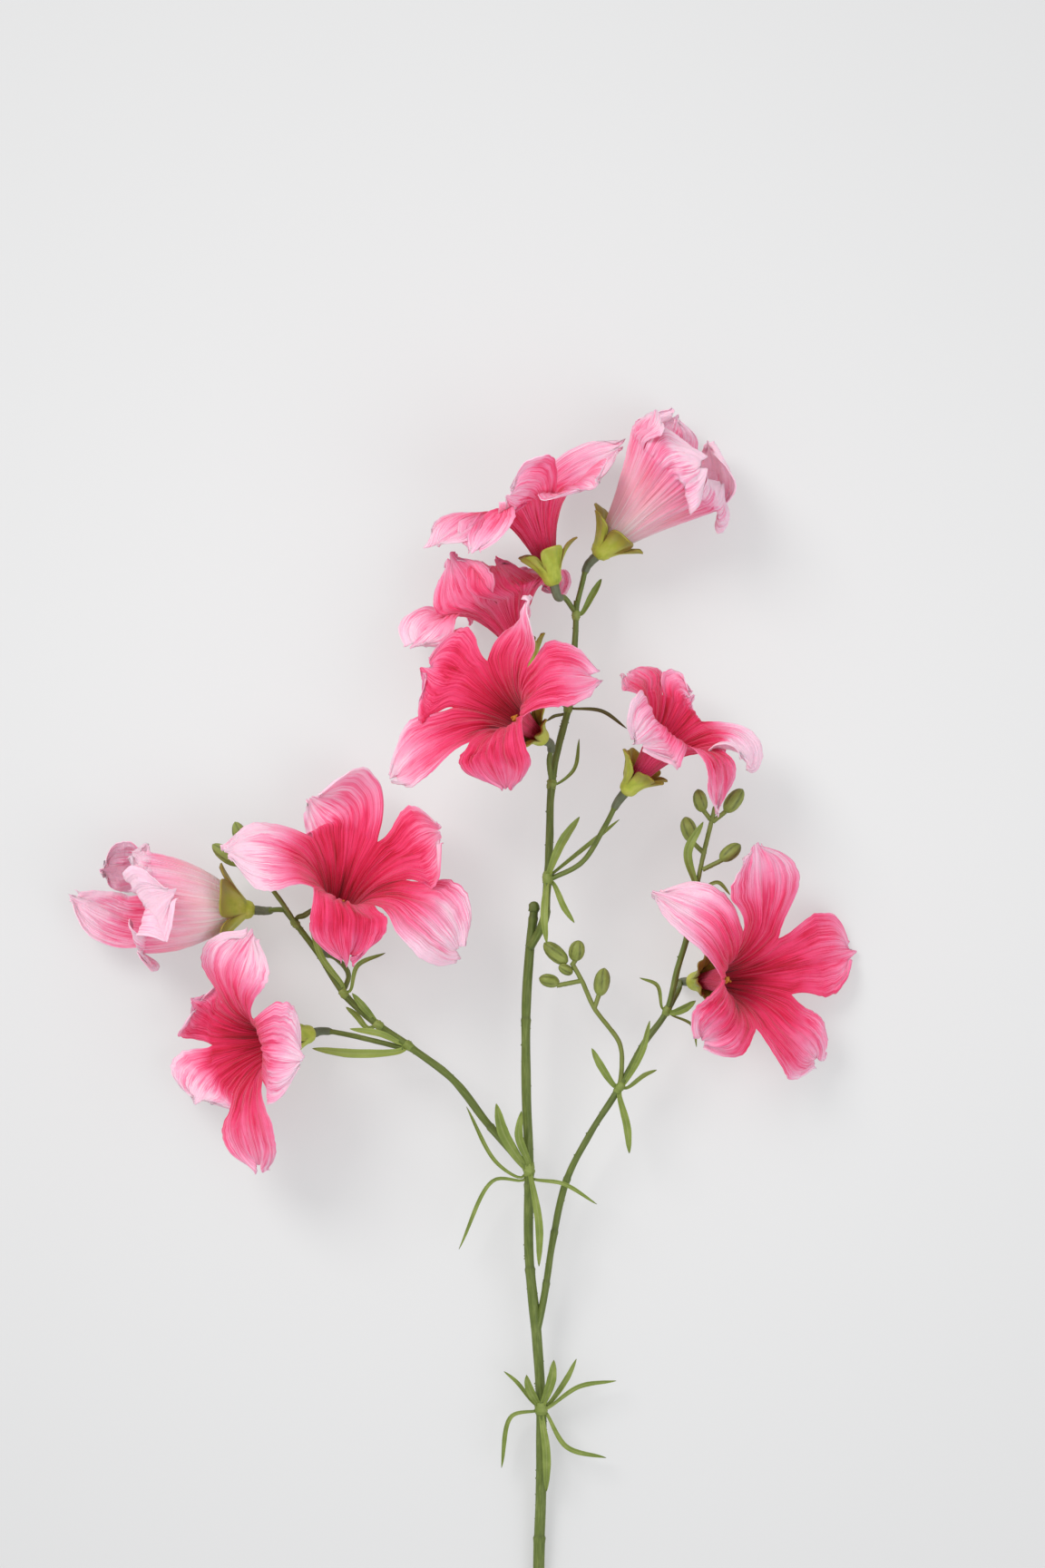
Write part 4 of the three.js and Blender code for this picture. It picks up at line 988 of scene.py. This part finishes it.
def build_floor():
    mesh = bpy.data.meshes.new("floor")
    corners = [(x * FLOOR_HALF, y * FLOOR_HALF, 0) for x, y in ((-1, -1), (1, -1), (1, 1), (-1, 1))]
    mesh.from_pydata(corners, [], [(0, 1, 2, 3)])
    floor = bpy.data.objects.new("floor", mesh)
    bpy.context.scene.collection.objects.link(floor)
    floor.location.z = -FLOOR_DROP
    material, tree, shader = new_material("pale_table")
    shader.inputs["Base Color"].default_value = (0.38, 0.38, 0.38, 1)
    shader.inputs["Emission Color"].default_value = (1.0, 1.0, 1.0, 1)
    pool = node(tree, "ShaderNodeTexGradient", gradient_type="SPHERICAL")
    spread = node(tree, "ShaderNodeMapping")
    tree.links.new(node(tree, "ShaderNodeTexCoord").outputs["Object"], spread.inputs[0])
    tree.links.new(spread.outputs[0], pool.inputs[0])
    spread.inputs["Location"].default_value = [-c / POOL_REACH for c in VIEW_CENTRE]
    spread.inputs["Scale"].default_value = [1 / POOL_REACH] * 3
    glow = maths(tree, "ADD", maths(tree, "MULTIPLY", pool.outputs["Fac"], POOL_GLOW), EDGE_GLOW)
    tree.links.new(glow, shader.inputs["Emission Strength"])
    shader.inputs["Roughness"].default_value = 0.9
    shader.inputs["Specular IOR Level"].default_value = 0.1
    mesh.materials.append(material)


def add_light(name, place, size, power, colour):
    data = bpy.data.lights.new(name, "AREA")
    data.shape = "DISK"
    data.size = size
    data.energy = power
    data.color = colour
    light = bpy.data.objects.new(name, data)
    bpy.context.scene.collection.objects.link(light)
    light.location = place
    aim = Vector(VIEW_CENTRE - np.array(place))
    light.rotation_euler = aim.to_track_quat("-Z", "Y").to_euler()


def build_light():
    world = bpy.data.worlds.new("studio")
    bpy.context.scene.world = world
    world.use_nodes = True
    background = world.node_tree.nodes["Background"]
    background.inputs[0].default_value = (0.97, 0.98, 1.0, 1)
    background.inputs[1].default_value = SKY
    add_light("key", (-1.3, 1.4, 1.9), 1.3, KEY_POWER, (1.0, 0.985, 0.96))
    add_light("fill", (1.5, -0.6, 1.8), 1.8, FILL_POWER, (0.96, 0.98, 1.0))


def build_camera():
    data = bpy.data.cameras.new("camera")
    data.sensor_width = SENSOR
    data.lens = SENSOR * (CAMERA_HEIGHT - TRUE_HEIGHT) / LENGTH_SEEN
    data.clip_end = 20.0
    camera = bpy.data.objects.new("camera", data)
    bpy.context.scene.collection.objects.link(camera)
    camera.location = (VIEW_CENTRE[0], VIEW_CENTRE[1], CAMERA_HEIGHT)
    bpy.context.scene.camera = camera


build_floor()
build_light()
build_camera()
bpy.context.scene.view_settings.view_transform = "Standard"
